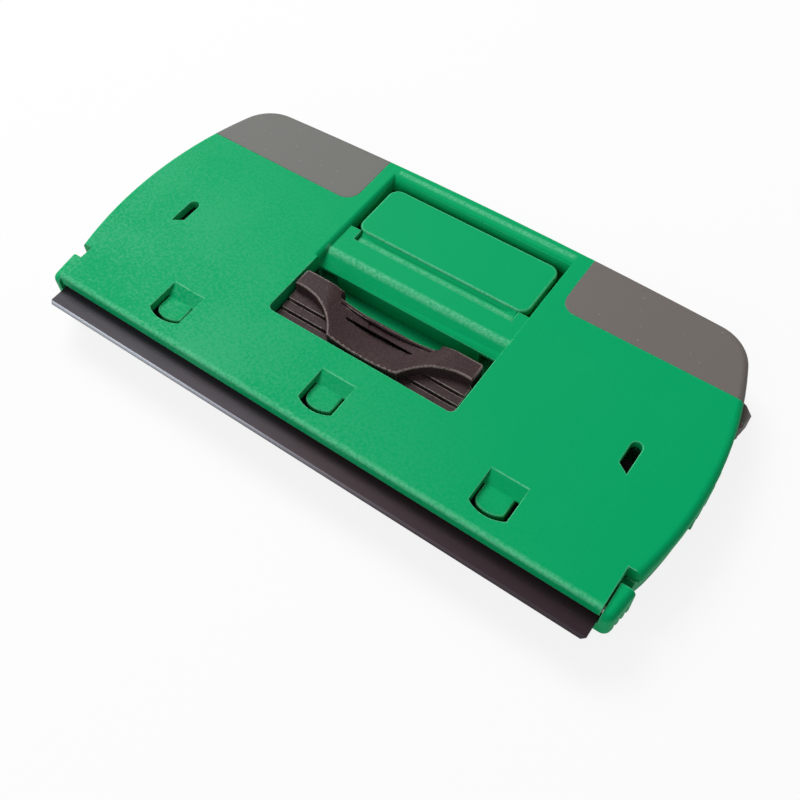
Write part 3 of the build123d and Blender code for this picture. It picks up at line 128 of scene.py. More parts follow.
class Paint:
    """One material, built by expressions on its signals."""

    def __init__(self, name: str) -> None:
        """Start a material around its Principled shader.

        Args:
            name: The material's name.
        """
        self.material = bpy.data.materials.new(name)
        self.material.use_nodes = True
        self.tree = self.material.node_tree
        self.shader = self.tree.nodes["Principled BSDF"]
        self.place = self.node("ShaderNodeTexCoord", out="Object")

    def node(
        self,
        kind: str,
        settings: dict[str, object] | None = None,
        values: dict[str | int, Feed] | None = None,
        out: str | int = 0,
    ) -> Signal:
        """Add a node.

        Args:
            kind: The node's type.
            settings: Its own settings, set before its sockets.
            values: A number, colour or signal for each socket that is used.
            out: The output that is returned.

        Returns:
            The signal that leaves the node.
        """
        made = self.tree.nodes.new(kind)
        for name, value in (settings or {}).items():
            setattr(made, name, value)
        for key, value in (values or {}).items():
            self.feed(made.inputs[key], value)
        return Signal(self, made.outputs[out])

    def feed(self, socket: bpy.types.NodeSocket, value: Feed) -> None:
        """Link a signal to a socket, or set a constant on it."""
        if isinstance(value, Signal):
            self.tree.links.new(value.socket, socket)
        elif socket.type == "RGBA":
            socket.default_value = (*value, 1.0)
        else:
            socket.default_value = value

    def maths(self, operation: str, *values: "Signal | float") -> Signal:
        """Math node on one to three values."""
        return self.node("ShaderNodeMath", {"operation": operation}, dict(enumerate(values)))

    def noise(
        self, size: float, detail: float = 2.0, stretch: Sequence[float] = (1, 1, 1)
    ) -> Signal:
        """Soft noise in the piece's own space.

        Args:
            size: The size of its spots, in metres.
            detail: How many finer layers it has.
            stretch: How much longer its spots are along each axis.

        Returns:
            A value about 0.5.
        """
        scale = [1 / reach for reach in stretch]
        place = self.node("ShaderNodeMapping", values={"Vector": self.place, "Scale": scale})
        values = {"Vector": place, "Scale": 1 / size, "Detail": detail}
        return self.node("ShaderNodeTexNoise", values=values)

    def specks(self, spacing: float, radius: float) -> Signal:
        """Round specks, one in each cell of a loose lattice.

        Args:
            spacing: The usual distance between two specks, in metres.
            radius: The radius of the largest speck, in metres.

        Returns:
            1 in a speck and 0 outside.
        """
        values = {"Vector": self.place, "Scale": 1 / spacing}
        distance = self.node("ShaderNodeTexVoronoi", values=values, out="Distance")
        return 1 - self.window(distance, 0.3 * radius / spacing, radius / spacing)

    def window(self, value: Signal, low: float, high: float) -> Signal:
        """Smooth rise from 0 at one value to 1 at another."""
        settings = {"interpolation_type": "SMOOTHSTEP"}
        values = {"Value": value, "From Min": low, "From Max": high}
        return self.node("ShaderNodeMapRange", settings, values)

    def mix(self, first: Feed, second: Feed, share: Signal) -> Signal:
        """Colour between two colours."""
        settings = {"data_type": "RGBA", "clamp_factor": True}
        return self.node("ShaderNodeMix", settings, {0: share, 6: first, 7: second}, out=2)

    def axis(self, name: str) -> Signal:
        """One coordinate of the piece's own space, X, Y or Z."""
        return self.node("ShaderNodeSeparateXYZ", values={0: self.place}, out=name)

    def mark(self, name: str) -> Signal:
        """A value that the mesh carries for each of its points."""
        settings = {"attribute_name": name}
        return self.node("ShaderNodeAttribute", settings, out="Fac")

    def bump(self, height: Signal, depth: float, normal: Signal | None = None) -> Signal:
        """Normal over a relief.

        Args:
            height: The relief, from 0 to 1.
            depth: The depth that 1 stands for, in metres.
            normal: The relief that this one lies on.

        Returns:
            The new normal.
        """
        values: dict[str | int, Feed] = {"Height": height, "Distance": depth, "Strength": 1.0}
        if normal is not None:
            values["Normal"] = normal
        return self.node("ShaderNodeBump", values=values)

    def set(self, **values: Feed) -> bpy.types.Material:
        """Feed the shader's sockets, named in lower case, and return the material."""
        for name, value in values.items():
            socket = name.replace("_", " ").title().replace("Ior", "IOR")
            self.feed(self.shader.inputs[socket], value)
        return self.material


@dataclass(frozen=True)
class HighlightAndWearBand:
    """A strip of painted highlight and wear that runs across the body.

    Attributes:
        place: Where its middle lies along Y.
        width: How wide it is.
        reach: How far it runs to both sides of the body's middle.
        strength: How strongly it shows.
        low: The height under which it isn't painted.
        high: The height above which it isn't painted.
    """

    place: float
    width: float
    reach: float
    strength: float
    low: float = 0.0
    high: float = 0.1

    def signal(self, paint: Paint) -> Signal:
        """Share of painted highlight and wear at each point, strongest in the strip's middle."""
        off = abs(paint.axis("Y") - self.place)
        strip = 1 - paint.window(off, 0.15 * self.width, 0.5 * self.width)
        inside = 1 - paint.window(abs(paint.axis("X")), self.reach, self.reach + 0.5 * MM)
        height = paint.axis("Z")
        level = paint.window(height, self.low, self.low + 0.1 * MM)
        level = level * (1 - paint.window(height, self.high, self.high + 0.1 * MM))
        return strip * inside * level * self.strength


@dataclass(frozen=True)
class MouldedPlastic:
    """Injection-moulded plastic from a spark-eroded tool, with painted highlights and wear on its
    edges, painted shade in its inner corners, and pale mottling that holds a painted reflection.

    Attributes:
        name: The material's name.
        colour: The colour of a clean face.
        pale: The colour of the pale mottling: random pale grain, and towards the left a painted
            reflection.
        edge: The colour of painted highlights and wear on edges and in the strips.
        deep: The colour of painted shade in an inner corner.
        roughness: The roughness of a clean face.
        grain_size: The size of the finest spots.
        grain_depth: The depth of the relief.
        mottle: How strongly the pale spots show at the left, and how strongly at the right; the
            fall between them is a painted reflection.
        highlight_and_wear_strength: How strongly the edges get painted highlight and wear.
        sheen: The strength of the shader's reflection.
        bands: Strips of painted highlight and wear.
        spot_growth: The size of the middle spots against the finest ones.
        cloud_growth: The size of the widest spots against the finest ones.
        slant: How much more the mottling's painted reflection fades along Y than along X.
        drift: How far the widest spots shift the line where the painted reflection fades.
        fade: Where the painted reflection starts to fade and where it has faded, on that slanted
            line.
        patches: The levels of the spots between which a pale patch rises.
        groove: How strongly an inner corner is darkened with painted shade.
        unevenness: How much the roughness varies with the grain.
        polish: How much smoother the face is where the pale mottling and its painted reflection
            lie.
        wave_size: The size of the shallow waves of a moulded face.
        wave_depth: Their depth.
    """

    name: str
    colour: Colour
    pale: Colour
    edge: Colour
    deep: Colour
    roughness: float = 0.5
    grain_size: float = 0.2 * MM
    grain_depth: float = 0.01 * MM
    mottle: tuple[float, float] = (0.8, 0.03)
    highlight_and_wear_strength: float = 0.8
    sheen: float = 0.03
    bands: tuple[HighlightAndWearBand, ...] = ()
    spot_growth: float = 2.4
    cloud_growth: float = 70
    slant: float = 1.6
    drift: float = 24 * MM
    fade: tuple[float, float] = (-90 * MM, 20 * MM)
    patches: tuple[float, float] = (0.38, 0.64)
    groove: float = 0.6
    unevenness: float = 0.22
    polish: float = 0.1
    wave_size: float = 9 * MM
    wave_depth: float = 0.12 * MM

    def material(self) -> bpy.types.Material:
        """Build the material."""
        paint = Paint(self.name)
        grain = paint.noise(self.grain_size, 3.0)
        spots = paint.noise(self.spot_growth * self.grain_size, 2.0)
        clouds = paint.noise(self.cloud_growth * self.grain_size, 2.0)
        left, right = self.mottle
        # The pale mottling grows towards the left and the front: random pale grain carrying a
        # painted reflection of the lamp.
        diagonal = paint.axis("X") + paint.axis("Y") * self.slant
        side = paint.window(diagonal + (clouds - 0.5) * self.drift, *self.fade)
        patches = paint.window(spots * 0.6 + clouds * 0.4, *self.patches)
        mottle_and_painted_reflection = patches * (side * (right - left) + left)
        colour = paint.mix(self.colour, self.pale, mottle_and_painted_reflection)
        # Painted shade in the inner corners.
        colour = paint.mix(colour, self.deep, paint.mark(Mark.GROOVE.value) * self.groove)
        # Strips of painted highlight and wear.
        for band in self.bands:
            strip = band.signal(paint) * paint.window(spots, 0.1, 0.8)
            colour = paint.mix(colour, self.edge, strip)
        # Painted highlights and wear on the edges and tight crests.
        broken = paint.window(spots, 0.2, 0.5)
        colour = paint.mix(colour, self.edge, paint.mark(Mark.EDGE.value) * broken * self.highlight_and_wear_strength)
        relief = paint.bump(grain * 0.5 + spots * 0.5, self.grain_depth)
        waves = paint.bump(paint.noise(self.wave_size, 1.0), self.wave_depth, relief)
        roughness = self.roughness + (grain - 0.5) * self.unevenness - mottle_and_painted_reflection * self.polish
        return paint.set(
            base_color=colour, roughness=roughness, normal=waves, specular_ior_level=self.sheen
        )


@dataclass(frozen=True)
class SoftGrip:
    """Soft thermoplastic rubber, matt, with a fine stipple and pale specks of dust.

    Attributes:
        name: The material's name.
        colour: The colour at the left.
        warm: The colour at the right.
        dust: The colour of the dust specks, and of the painted highlight and wear on the edges.
        roughness: The roughness of a clean face.
        sheen: The strength of the shader's reflection.
        turn: Where the colour starts to turn along X, and where it has turned.
        drift: How far the soft clouds shift that line.
        cloud_size: The size of the clouds.
        stipple_size: The size of the stipple's spots.
        stipple_depth: The depth of its relief.
        speck_spacing: The usual distance between two specks.
        speck_radius: The radius of the largest speck.
    """

    name: str
    colour: Colour
    warm: Colour
    dust: Colour
    roughness: float = 0.62
    sheen: float = 0.2
    turn: tuple[float, float] = (-30 * MM, 30 * MM)
    drift: float = 20 * MM
    cloud_size: float = 5 * MM
    stipple_size: float = 0.16 * MM
    stipple_depth: float = 0.014 * MM
    speck_spacing: float = 1.1 * MM
    speck_radius: float = 0.12 * MM

    def material(self) -> bpy.types.Material:
        """Build the material."""
        paint = Paint(self.name)
        stipple = paint.noise(self.stipple_size, 2.0)
        clouds = paint.noise(self.cloud_size, 3.0)
        side = paint.axis("X") + (clouds - 0.5) * self.drift
        colour = paint.mix(self.colour, self.warm, paint.window(side, *self.turn))
        dusty = paint.window(paint.noise(2 * MM), 0.5, 0.62)
        specks = paint.specks(self.speck_spacing, self.speck_radius) * dusty
        colour = paint.mix(colour, self.dust, specks * 0.7)
        # Painted highlight and wear on the edges.
        colour = paint.mix(colour, self.dust, paint.mark(Mark.EDGE.value) * 0.25)
        relief = paint.bump(stipple, self.stipple_depth)
        roughness = self.roughness + (stipple - 0.5) * 0.2
        return paint.set(
            base_color=colour, roughness=roughness, normal=relief, specular_ior_level=self.sheen
        )


@dataclass(frozen=True)
class BladeSteel:
    """Dark lacquered strip steel with a ground bevel along its edge, bright at the left and
    fading to the lacquer's colour towards the right as a painted reflection.

    Attributes:
        name: The material's name.
        cool: The colour of the lacquer at the blade's left.
        warm: The colour of the lacquer at its right.
        ground: The colour of the ground steel; on the bevel it fades into the lacquer's colour
            towards the right as a painted reflection.
        front: The place of the cutting edge along Y.
        bevel: The width of the ground bevel.
        half: Half the blade's width.
        sheen: The strength of the shader's reflection.
        roughness: The roughness of the lacquer.
        scratch_size: The width of the lacquer's fine scratches, which run along the blade.
        stone_size: The width of the grinding marks, which run across the bevel.
        relief_depth: The depth of both.
    """

    name: str
    cool: Colour
    warm: Colour
    ground: Colour
    front: float
    bevel: float
    half: float
    sheen: float = 0.12
    roughness: float = 0.4
    scratch_size: float = 0.12 * MM
    stone_size: float = 0.05 * MM
    relief_depth: float = 0.002 * MM

    def material(self) -> bpy.types.Material:
        """Build the material."""
        paint = Paint(self.name)
        across = paint.axis("X") / (2 * self.half) + 0.5
        clouds = paint.noise(14 * MM, 3.0)
        side = paint.window(across + clouds * 0.4, 0.35, 0.9)
        lacquer = paint.mix(self.cool, self.warm, side)
        scratches = paint.noise(self.scratch_size, 2.0, stretch=(40, 1, 1))
        stones = paint.noise(self.stone_size, 2.0, stretch=(1, 60, 1))
        lacquer = paint.mix(lacquer, self.ground, paint.window(scratches, 0.66, 0.8) * 0.12)
        along = paint.axis("Y")
        edge = 1 - paint.window(along, self.front + 0.9 * self.bevel, self.front + self.bevel)
        # The bevel's bright steel fades into lacquer towards the right: a painted reflection.
        ground = paint.mix(self.ground, lacquer, paint.window(across, 0.05, 0.8) * 0.9)
        colour = paint.mix(lacquer, ground, edge)
        roughness = self.roughness + (scratches - 0.5) * 0.16 + edge * (stones - 0.5) * 0.2
        metallic = 0.1 + edge * 0.35
        relief = paint.bump(scratches * (1 - edge) + stones * edge, self.relief_depth)
        return paint.set(
            base_color=colour, roughness=roughness, metallic=metallic, normal=relief,
            specular_ior_level=self.sheen,
        )


@dataclass(frozen=True)
class DrawnSteel:
    """Plain bright steel of pins, springs, rivets and screws.

    Attributes:
        name: The material's name.
        colour: The colour of the clean steel.
        roughness: Its roughness.
        tint: The colour of its faint stains.
        draw_size: The width of the drawing marks.
        draw_depth: Their depth.
    """

    name: str
    colour: Colour
    roughness: float = 0.3
    tint: Colour = (0.30, 0.22, 0.15)
    draw_size: float = 0.08 * MM
    draw_depth: float = 0.003 * MM

    def material(self) -> bpy.types.Material:
        """Build the material."""
        paint = Paint(self.name)
        draw = paint.noise(self.draw_size, 2.0, stretch=(24, 1, 1))
        clouds = paint.noise(0.8 * MM, 3.0)
        colour = paint.mix(self.colour, self.tint, paint.window(clouds, 0.55, 0.8) * 0.35)
        roughness = self.roughness + (draw - 0.5) * 0.25
        relief = paint.bump(draw, self.draw_depth)
        return paint.set(base_color=colour, roughness=roughness, metallic=1.0, normal=relief)


class Mark(Enum):
    """Values that a finished mesh carries for its material."""

    # Edges and tight crests that get painted highlight and wear, and inner corners that get
    # painted shade.
    EDGE = "edge_highlight_and_wear"
    GROOVE = "inner_corner"


@dataclass(frozen=True)
class Softening:
    """How the edges of a moulding or a stamped part are broken.

    Attributes:
        width: The width of the rounding.
        segments: How many faces it has across.
        sharp: The least angle of an edge that is rounded.
        run: The least length of a run of such edges.
        stub: The length under which an edge has to turn by more.
        piece: The length that long edges are divided into.
        tries: How often the rounding is done again without the places that went wrong.
    """

    width: float
    segments: int = 2
    sharp: float = math.radians(26)
    run: float = 1.2 * MM
    stub: float = 0.3 * MM
    piece: float = 1.5 * MM
    tries: int = 4

    def picks(self, edge: bmesh.types.BMEdge, flaws: KDTree) -> bool:
        """Whether an edge is one to round: sharp, and clear of the places that went wrong."""
        if not edge.is_manifold:
            return False
        least = self.sharp if edge.calc_length() > self.stub else 1.8 * self.sharp
        if edge.calc_face_angle(0.0) < least:
            return False
        return not any(flaws.find_range(point.co, 2 * self.width) for point in edge.verts)


class Bench:
    """One mesh on the bench, worked on in edit mode.

    Attributes:
        tight_radius: The radius under which a curved crest is rubbed as an edge is.
        tight_share: How strongly it is rubbed.
        weld: The distance under which two points are one.
        sliver: The size under which a face has no area.
        level: The angle under which two faces are one.
        stray: How far a rounding may throw a point off the surface, in widths of it.
        least_area: The area under which a face isn't tested.
        turned_over: The agreement of two normals under which a face is turned over.
        least_lean: The lean that tells an edge with painted highlight and wear, or an inner
            corner with painted shade, from a flat place.
        opposite: The agreement under which two ways lead to opposite sides.
    """

    # tight_radius: The radius under which a curved crest gets painted highlight and wear as an
    # edge does.
    tight_radius: float = 0.7 * MM
    # tight_share: How strongly it gets them.
    tight_share: float = 0.6
    weld: float = 1e-5
    sliver: float = 2e-5
    level: float = math.radians(0.2)
    stray: float = 0.6
    least_area: float = 1e-11
    turned_over: float = -0.3
    least_lean: float = 0.05
    opposite: float = -0.5

    def __init__(self, name: str, mesh: bpy.types.Mesh) -> None:
        """Put a mesh on the bench as a new object.

        Args:
            name: The piece's name.
            mesh: The mesh that it owns.
        """
        self.piece = bpy.data.objects.new(name, mesh)
        bpy.context.scene.collection.objects.link(self.piece)
        self.pick()

    def pick(self) -> None:
        """Make this piece the only selected one, and the active one."""
        bpy.ops.object.select_all(action="DESELECT")
        self.piece.select_set(True)
        bpy.context.view_layer.objects.active = self.piece

    def edit(self, *steps: Callable[[], object]) -> None:
        """Carry out operators on the whole mesh in edit mode.

        Args:
            steps: The operators, each as a call without arguments.
        """
        self.pick()
        bpy.ops.object.mode_set(mode="EDIT")
        bpy.ops.mesh.select_all(action="SELECT")
        for step in steps:
            step()
        bpy.ops.object.mode_set(mode="OBJECT")

    def modify(self, kind: str, **settings: object) -> None:
        """Add a modifier and apply it.

        Args:
            kind: The modifier's type.
            settings: Its settings by name.
        """
        self.pick()
        modifier = self.piece.modifiers.new(kind.lower(), kind)
        for name, value in settings.items():
            setattr(modifier, name, value)
        bpy.ops.object.modifier_apply(modifier=modifier.name)

    def merge(self) -> None:
        """Join loose triangles into faces with shared points."""
        self.edit(
            lambda: bpy.ops.mesh.remove_doubles(threshold=self.weld),
            lambda: bpy.ops.mesh.dissolve_degenerate(threshold=self.sliver),
            lambda: bpy.ops.mesh.dissolve_limited(angle_limit=self.level),
        )

    def soften(self, softening: Softening) -> None:
        """Round the sharp edges, and mark the outer ones for painted highlight and wear."""
        plain = self.piece.data
        plain.materials.clear()
        plain.materials.append(None)
        plain.materials.append(None)
        reach = self.stray * softening.width
        flaws: list[Vector] = []
        for _ in range(softening.tries):
            self.piece.data = plain.copy()
            surface = self.weigh(softening, flaws)
            self.modify(
                "BEVEL",
                width=softening.width,
                segments=softening.segments,
                limit_method="WEIGHT",
                use_clamp_overlap=False,
                material=1,
            )
            found = self.flaws(surface, reach)
            if not found:
                break
            flaws += found
        self.rein(surface, reach)
        self.mark_edges()

    def weigh(self, softening: Softening, flaws: Sequence[Vector]) -> BVHTree:
        """Give the edges to round their weight.

        Args:
            softening: How the edges are broken.
            flaws: The places where a rounding went wrong before.

        Returns:
            The surface before its edges are rounded.
        """
        tree = KDTree(len(flaws))
        for index, place in enumerate(flaws):
            tree.insert(place, index)
        tree.balance()
        mesh = bmesh.new()
        mesh.from_mesh(self.piece.data)
        for edge in [edge for edge in mesh.edges if edge.calc_face_angle(0.0) >= softening.sharp]:
            cuts = int(edge.calc_length() / softening.piece)
            if cuts:
                bmesh.ops.subdivide_edges(mesh, edges=[edge], cuts=cuts)
        weight = mesh.edges.layers.float.new("bevel_weight_edge")
        waiting = {edge for edge in mesh.edges if softening.picks(edge, tree)}
        while waiting:
            run = [waiting.pop()]
            for edge in run:
                beside = {other for point in edge.verts for other in point.link_edges} & waiting
                waiting -= beside
                run.extend(beside)
            if sum(edge.calc_length() for edge in run) >= softening.run:
                for edge in run:
                    edge[weight] = 1.0
        mesh.to_mesh(self.piece.data)
        surface = BVHTree.FromBMesh(mesh)
        mesh.free()
        return surface

    def flaws(self, surface: BVHTree, reach: float) -> list[Vector]:
        """Find where the rounding threw points off the surface or turned faces over.

        Args:
            surface: The surface before its edges were rounded.
            reach: How far a point may stand off it.

        Returns:
            The points that are wrong.
        """
        mesh = self.piece.data
        places = [point.co.copy() for point in mesh.vertices
                  if surface.find_nearest(point.co)[3] > reach]
        for face in mesh.polygons:
            if face.area <= self.least_area:
                continue
            if surface.find_nearest(face.center)[1].dot(face.normal) < self.turned_over:
                places += [mesh.vertices[index].co.copy() for index in face.vertices]
        return places

    def rein(self, surface: BVHTree, reach: float) -> None:
        """Bring back the points that a rounding has thrown off the surface.

        Args:
            surface: The surface before its edges were rounded.
            reach: How far a point may stand off it.
        """
        for point in self.piece.data.vertices:
            near, _, _, distance = surface.find_nearest(point.co)
            if distance > reach:
                point.co = near

    def mark_edges(self) -> None:
        """Write the edges for painted highlight and wear, and the inner corners for painted
        shade, as values of the mesh's points.
        """
        mesh = self.piece.data
        rounded = [True] * len(mesh.vertices)
        for face in mesh.polygons:
            if face.material_index == 0:
                for index in face.vertices:
                    rounded[index] = False
        lean = [0.0] * len(mesh.vertices)
        drops: list[list[Vector]] = [[] for _ in mesh.vertices]
        for edge in mesh.edges:
            for here, there in (edge.vertices, reversed(edge.vertices)):
                start = mesh.vertices[here]
                way = mesh.vertices[there].co - start.co
                slope = way.normalized().dot(start.normal)
                lean[here] += slope
                if -2 * slope * self.tight_radius > way.length:
                    drops[here].append(way.normalized())
        for mark, sign in ((Mark.EDGE, -1), (Mark.GROOVE, 1)):
            values = [
                float(flag and sign * slope > self.least_lean)
                for flag, slope in zip(rounded, lean)
            ]
            if mark is Mark.EDGE:
                crests = [self.tight_share * self.crest(ways) for ways in drops]
                values = [max(pair) for pair in zip(values, crests)]
            attribute = mesh.attributes.new(mark.value, "FLOAT", "POINT")
            attribute.data.foreach_set("value", values)
        for face in mesh.polygons:
            face.material_index = 0

    def crest(self, ways: Sequence[Vector]) -> bool:
        """Whether the surface falls away tightly to two opposite sides of a point."""
        pairs = itertools.combinations(ways, 2)
        return any(one.dot(other) < self.opposite for one, other in pairs)

    def finish(self, material: bpy.types.Material, smooth: float = math.radians(40)) -> None:
        """Shade the piece and give it its material.

        Args:
            material: The finish.
            smooth: The greatest angle between two faces that is shaded smooth.
        """
        self.pick()
        bpy.ops.object.shade_smooth_by_angle(angle=smooth)
        self.modify("WEIGHTED_NORMAL", mode="FACE_AREA", keep_sharp=True)
        self.piece.data.materials.clear()
        self.piece.data.materials.append(material)


@dataclass
class Assembly:
    """Pieces that ride on one body.

    Attributes:
        body: The body that carries them.
        pieces: The finished pieces, in the order they were made.
    """

    body: Body
    pieces: list[bpy.types.Object] = field(default_factory=list)

    def dress(
        self, node: str, name: str, slot: Slot, material: bpy.types.Material, softening: Softening
    ) -> None:
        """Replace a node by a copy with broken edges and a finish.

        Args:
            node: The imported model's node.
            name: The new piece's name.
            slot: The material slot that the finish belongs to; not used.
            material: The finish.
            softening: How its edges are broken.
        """
        bench = Bench(name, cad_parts[node].data.copy())
        bench.merge()
        bench.soften(softening)
        bench.finish(material)
        self.place(bench, slot, node)

    def place(self, bench: Bench, slot: Slot, *nodes: str) -> None:
        """Let a finished piece ride on the body and stand for its nodes."""
        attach(bench.piece, self.body.value)
        if nodes:
            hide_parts(*nodes)
        self.pieces.append(bench.piece)
        LOG.info("%s rides on %s with %d faces", bench.piece.name, self.body.value,
                 len(bench.piece.data.polygons))


@dataclass(frozen=True)
class Finishes:
    """All finishes of the scraper, each built once."""

    cover: bpy.types.Material
    rubber: bpy.types.Material
    slider: bpy.types.Material
    carriage: bpy.types.Material
    blade: bpy.types.Material
    pin: bpy.types.Material
    spring: bpy.types.Material

    @classmethod
    def mixed(cls) -> "Finishes":
        """Mix every finish of the scraper."""
        low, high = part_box("blade")
        # The pale colour carries a painted reflection, the edge colour painted highlights and
        # wear, and the deep colour painted shade in inner corners.
        green = MouldedPlastic(
            name="green_plastic",
            colour=(0.001, 0.375, 0.13),
            pale=(0.055, 0.45, 0.21),
            edge=(0.13, 0.56, 0.3),
            deep=(0.001, 0.15, 0.05),
            bands=(
                HighlightAndWearBand(
                    place=26.2 * MM, width=1.3 * MM, reach=17.4 * MM, strength=0.8, low=9.3 * MM
                ),
                HighlightAndWearBand(
                    place=12.2 * MM, width=0.5 * MM, reach=15.2 * MM, strength=0.7, low=8.9 * MM
                ),
                HighlightAndWearBand(
                    place=5.6 * MM, width=1.8 * MM, reach=17.7 * MM, strength=0.9, low=8.5 * MM
                ),
                HighlightAndWearBand(
                    place=10.6 * MM, width=1.2 * MM, reach=14.9 * MM, strength=0.8, low=8.2 * MM
                ),
                HighlightAndWearBand(
                    place=-24.2 * MM, width=1.4 * MM, reach=50.4 * MM, strength=0.6, low=9.5 * MM
                ),
                # A painted highlight on the lower edge of the lip's shaded front face.
                HighlightAndWearBand(
                    place=-24.5 * MM, width=0.8 * MM, reach=50.4 * MM, strength=1.0,
                    low=7.65 * MM, high=7.85 * MM,
                ),
            ),
        )
        # The plum and dark plastics carry painted reflection, painted highlights and wear, and
        # painted shade in the same way.
        plum = MouldedPlastic(
            name="plum_plastic",
            colour=(0.043, 0.024, 0.026),
            pale=(0.085, 0.058, 0.058),
            edge=(0.42, 0.35, 0.33),
            deep=(0.012, 0.007, 0.008),
            grain_size=0.16 * MM,
            grain_depth=0.03 * MM,
            mottle=(0.5, 0.4),
            sheen=0.07,
        )
        dark = MouldedPlastic(
            name="dark_plastic",
            colour=(0.035, 0.024, 0.025),
            pale=(0.06, 0.045, 0.045),
            edge=(0.15, 0.12, 0.12),
            deep=(0.012, 0.008, 0.009),
        )
        rubber = SoftGrip(
            name="grey_grip",
            colour=(0.162, 0.165, 0.152),
            warm=(0.162, 0.142, 0.13),
            dust=(0.5, 0.47, 0.44),
        )
        blade = BladeSteel(
            name="lacquered_blade",
            cool=(0.034, 0.029, 0.038),
            warm=(0.034, 0.019, 0.024),
            ground=(0.22, 0.23, 0.26),
            front=low.y,
            bevel=0.6 * MM,
            half=high.x,
        )
        return cls(
            cover=green.material(),
            rubber=rubber.material(),
            slider=plum.material(),
            carriage=dark.material(),
            blade=blade.material(),
            pin=DrawnSteel("pin_steel", (0.4, 0.39, 0.38)).material(),
            spring=DrawnSteel("spring_steel", (0.45, 0.43, 0.4), 0.36).material(),
        )


@dataclass
class CoverAssembly(Assembly):
    """Hinged cover with its soft grips and its two hinge pins."""

    moulding: Softening = Softening(0.16 * MM, 3)
    rubber: Softening = Softening(0.08 * MM, 2)
    pin: Softening = Softening(0.05 * MM, 2)

    def build(self, finishes: Finishes) -> None:
        """Dress the cover's pieces."""
        self.dress("top_cover", "cover_moulding", Slot.COVER, finishes.cover, self.moulding)
        for side in ("left", "right"):
            grip = f"cover_grip_{side}"
            self.dress(grip, f"{grip}_rubber", Slot.RUBBER, finishes.rubber, self.rubber)
            pin = f"hinge_pin_{side}"
            self.dress(pin, f"{pin}_steel", Slot.PIN, finishes.pin, self.pin)


@dataclass
class BaseAssembly(Assembly):
    """Lower shell with its grips, springs, rivets and the latch pin."""

    moulding: Softening = Softening(0.14 * MM, 3)
    rubber: Softening = Softening(0.1 * MM, 2)
    metal: Softening = Softening(0.04 * MM, 2)

    def build(self, finishes: Finishes) -> None:
        """Dress the pieces of the lower half."""
        self.dress("lower_shell", "shell_moulding", Slot.SHELL, finishes.cover, self.moulding)
        for side in ("left", "right"):
            grip = f"base_grip_{side}"
            self.dress(grip, f"{grip}_rubber", Slot.RUBBER, finishes.rubber, self.rubber)
        self.dress("latch_pin", "latch_pin_steel", Slot.PIN, finishes.pin, self.metal)
        for spring in ("latch_spring", "click_spring"):
            self.dress(spring, f"{spring}_strip", Slot.SPRING, finishes.spring, self.metal)
            self.dress(f"{spring}_rivet", f"{spring}_stud", Slot.PIN, finishes.pin, self.metal)


@dataclass
class LatchAssembly(Assembly):
    """Push flap and its lever."""

    moulding: Softening = Softening(0.14 * MM, 3)

    def build(self, finishes: Finishes) -> None:
        """Dress the flap."""
        self.dress("latch_lever", "flap_moulding", Slot.COVER, finishes.cover, self.moulding)


@dataclass
class SliderAssembly(Assembly):
    """Thumb slider, carriage, blade and what holds them together."""

    moulding: Softening = Softening(0.14 * MM, 3)
    blade: Softening = Softening(0.02 * MM, 2)
    metal: Softening = Softening(0.05 * MM, 2)

    def build(self, finishes: Finishes) -> None:
        """Dress the sliding pieces."""
        for node, name, slot, material in (
            ("thumb_slider", "thumb_slider_moulding", Slot.SLIDER, finishes.slider),
            ("blade_carriage", "carriage_moulding", Slot.CARRIAGE, finishes.carriage),
        ):
            self.dress(node, name, slot, material, self.moulding)
        self.dress("blade", "blade_strip", Slot.BLADE, finishes.blade, self.blade)
        for side in ("left", "right"):
            pin = f"blade_pin_{side}"
            self.dress(pin, f"{pin}_steel", Slot.PIN, finishes.pin, self.metal)
        self.dress("slider_screws", "slider_screws_steel", Slot.PIN, finishes.pin, self.metal)


@dataclass(frozen=True)
class Lamp:
    """One soft area lamp.

    Attributes:
        name: The lamp's name.
        azimuth: Where it stands, from the -Y axis towards +X.
        elevation: Its height above the floor's plane.
        distance: How far it is from the object.
        size: The length of its sides.
        power: Its power in watts.
    """

    name: str
    azimuth: float
    elevation: float
    distance: float
    size: float
    power: float

    def hang(self, target: Vector) -> None:
        """Hang the lamp so that it faces a point."""
        light = bpy.data.lights.new(self.name, "AREA")
        light.shape = "SQUARE"
        light.size = self.size
        light.energy = self.power
        lamp = bpy.data.objects.new(self.name, light)
        bpy.context.scene.collection.objects.link(lamp)
        turn, rise = math.radians(self.azimuth), math.radians(self.elevation)
        flat = math.cos(rise)
        way = Vector((math.sin(turn) * flat, -math.cos(turn) * flat, math.sin(rise)))
        lamp.location = target + way * self.distance
        lamp.rotation_euler = way.to_track_quat("Z", "Y").to_euler()


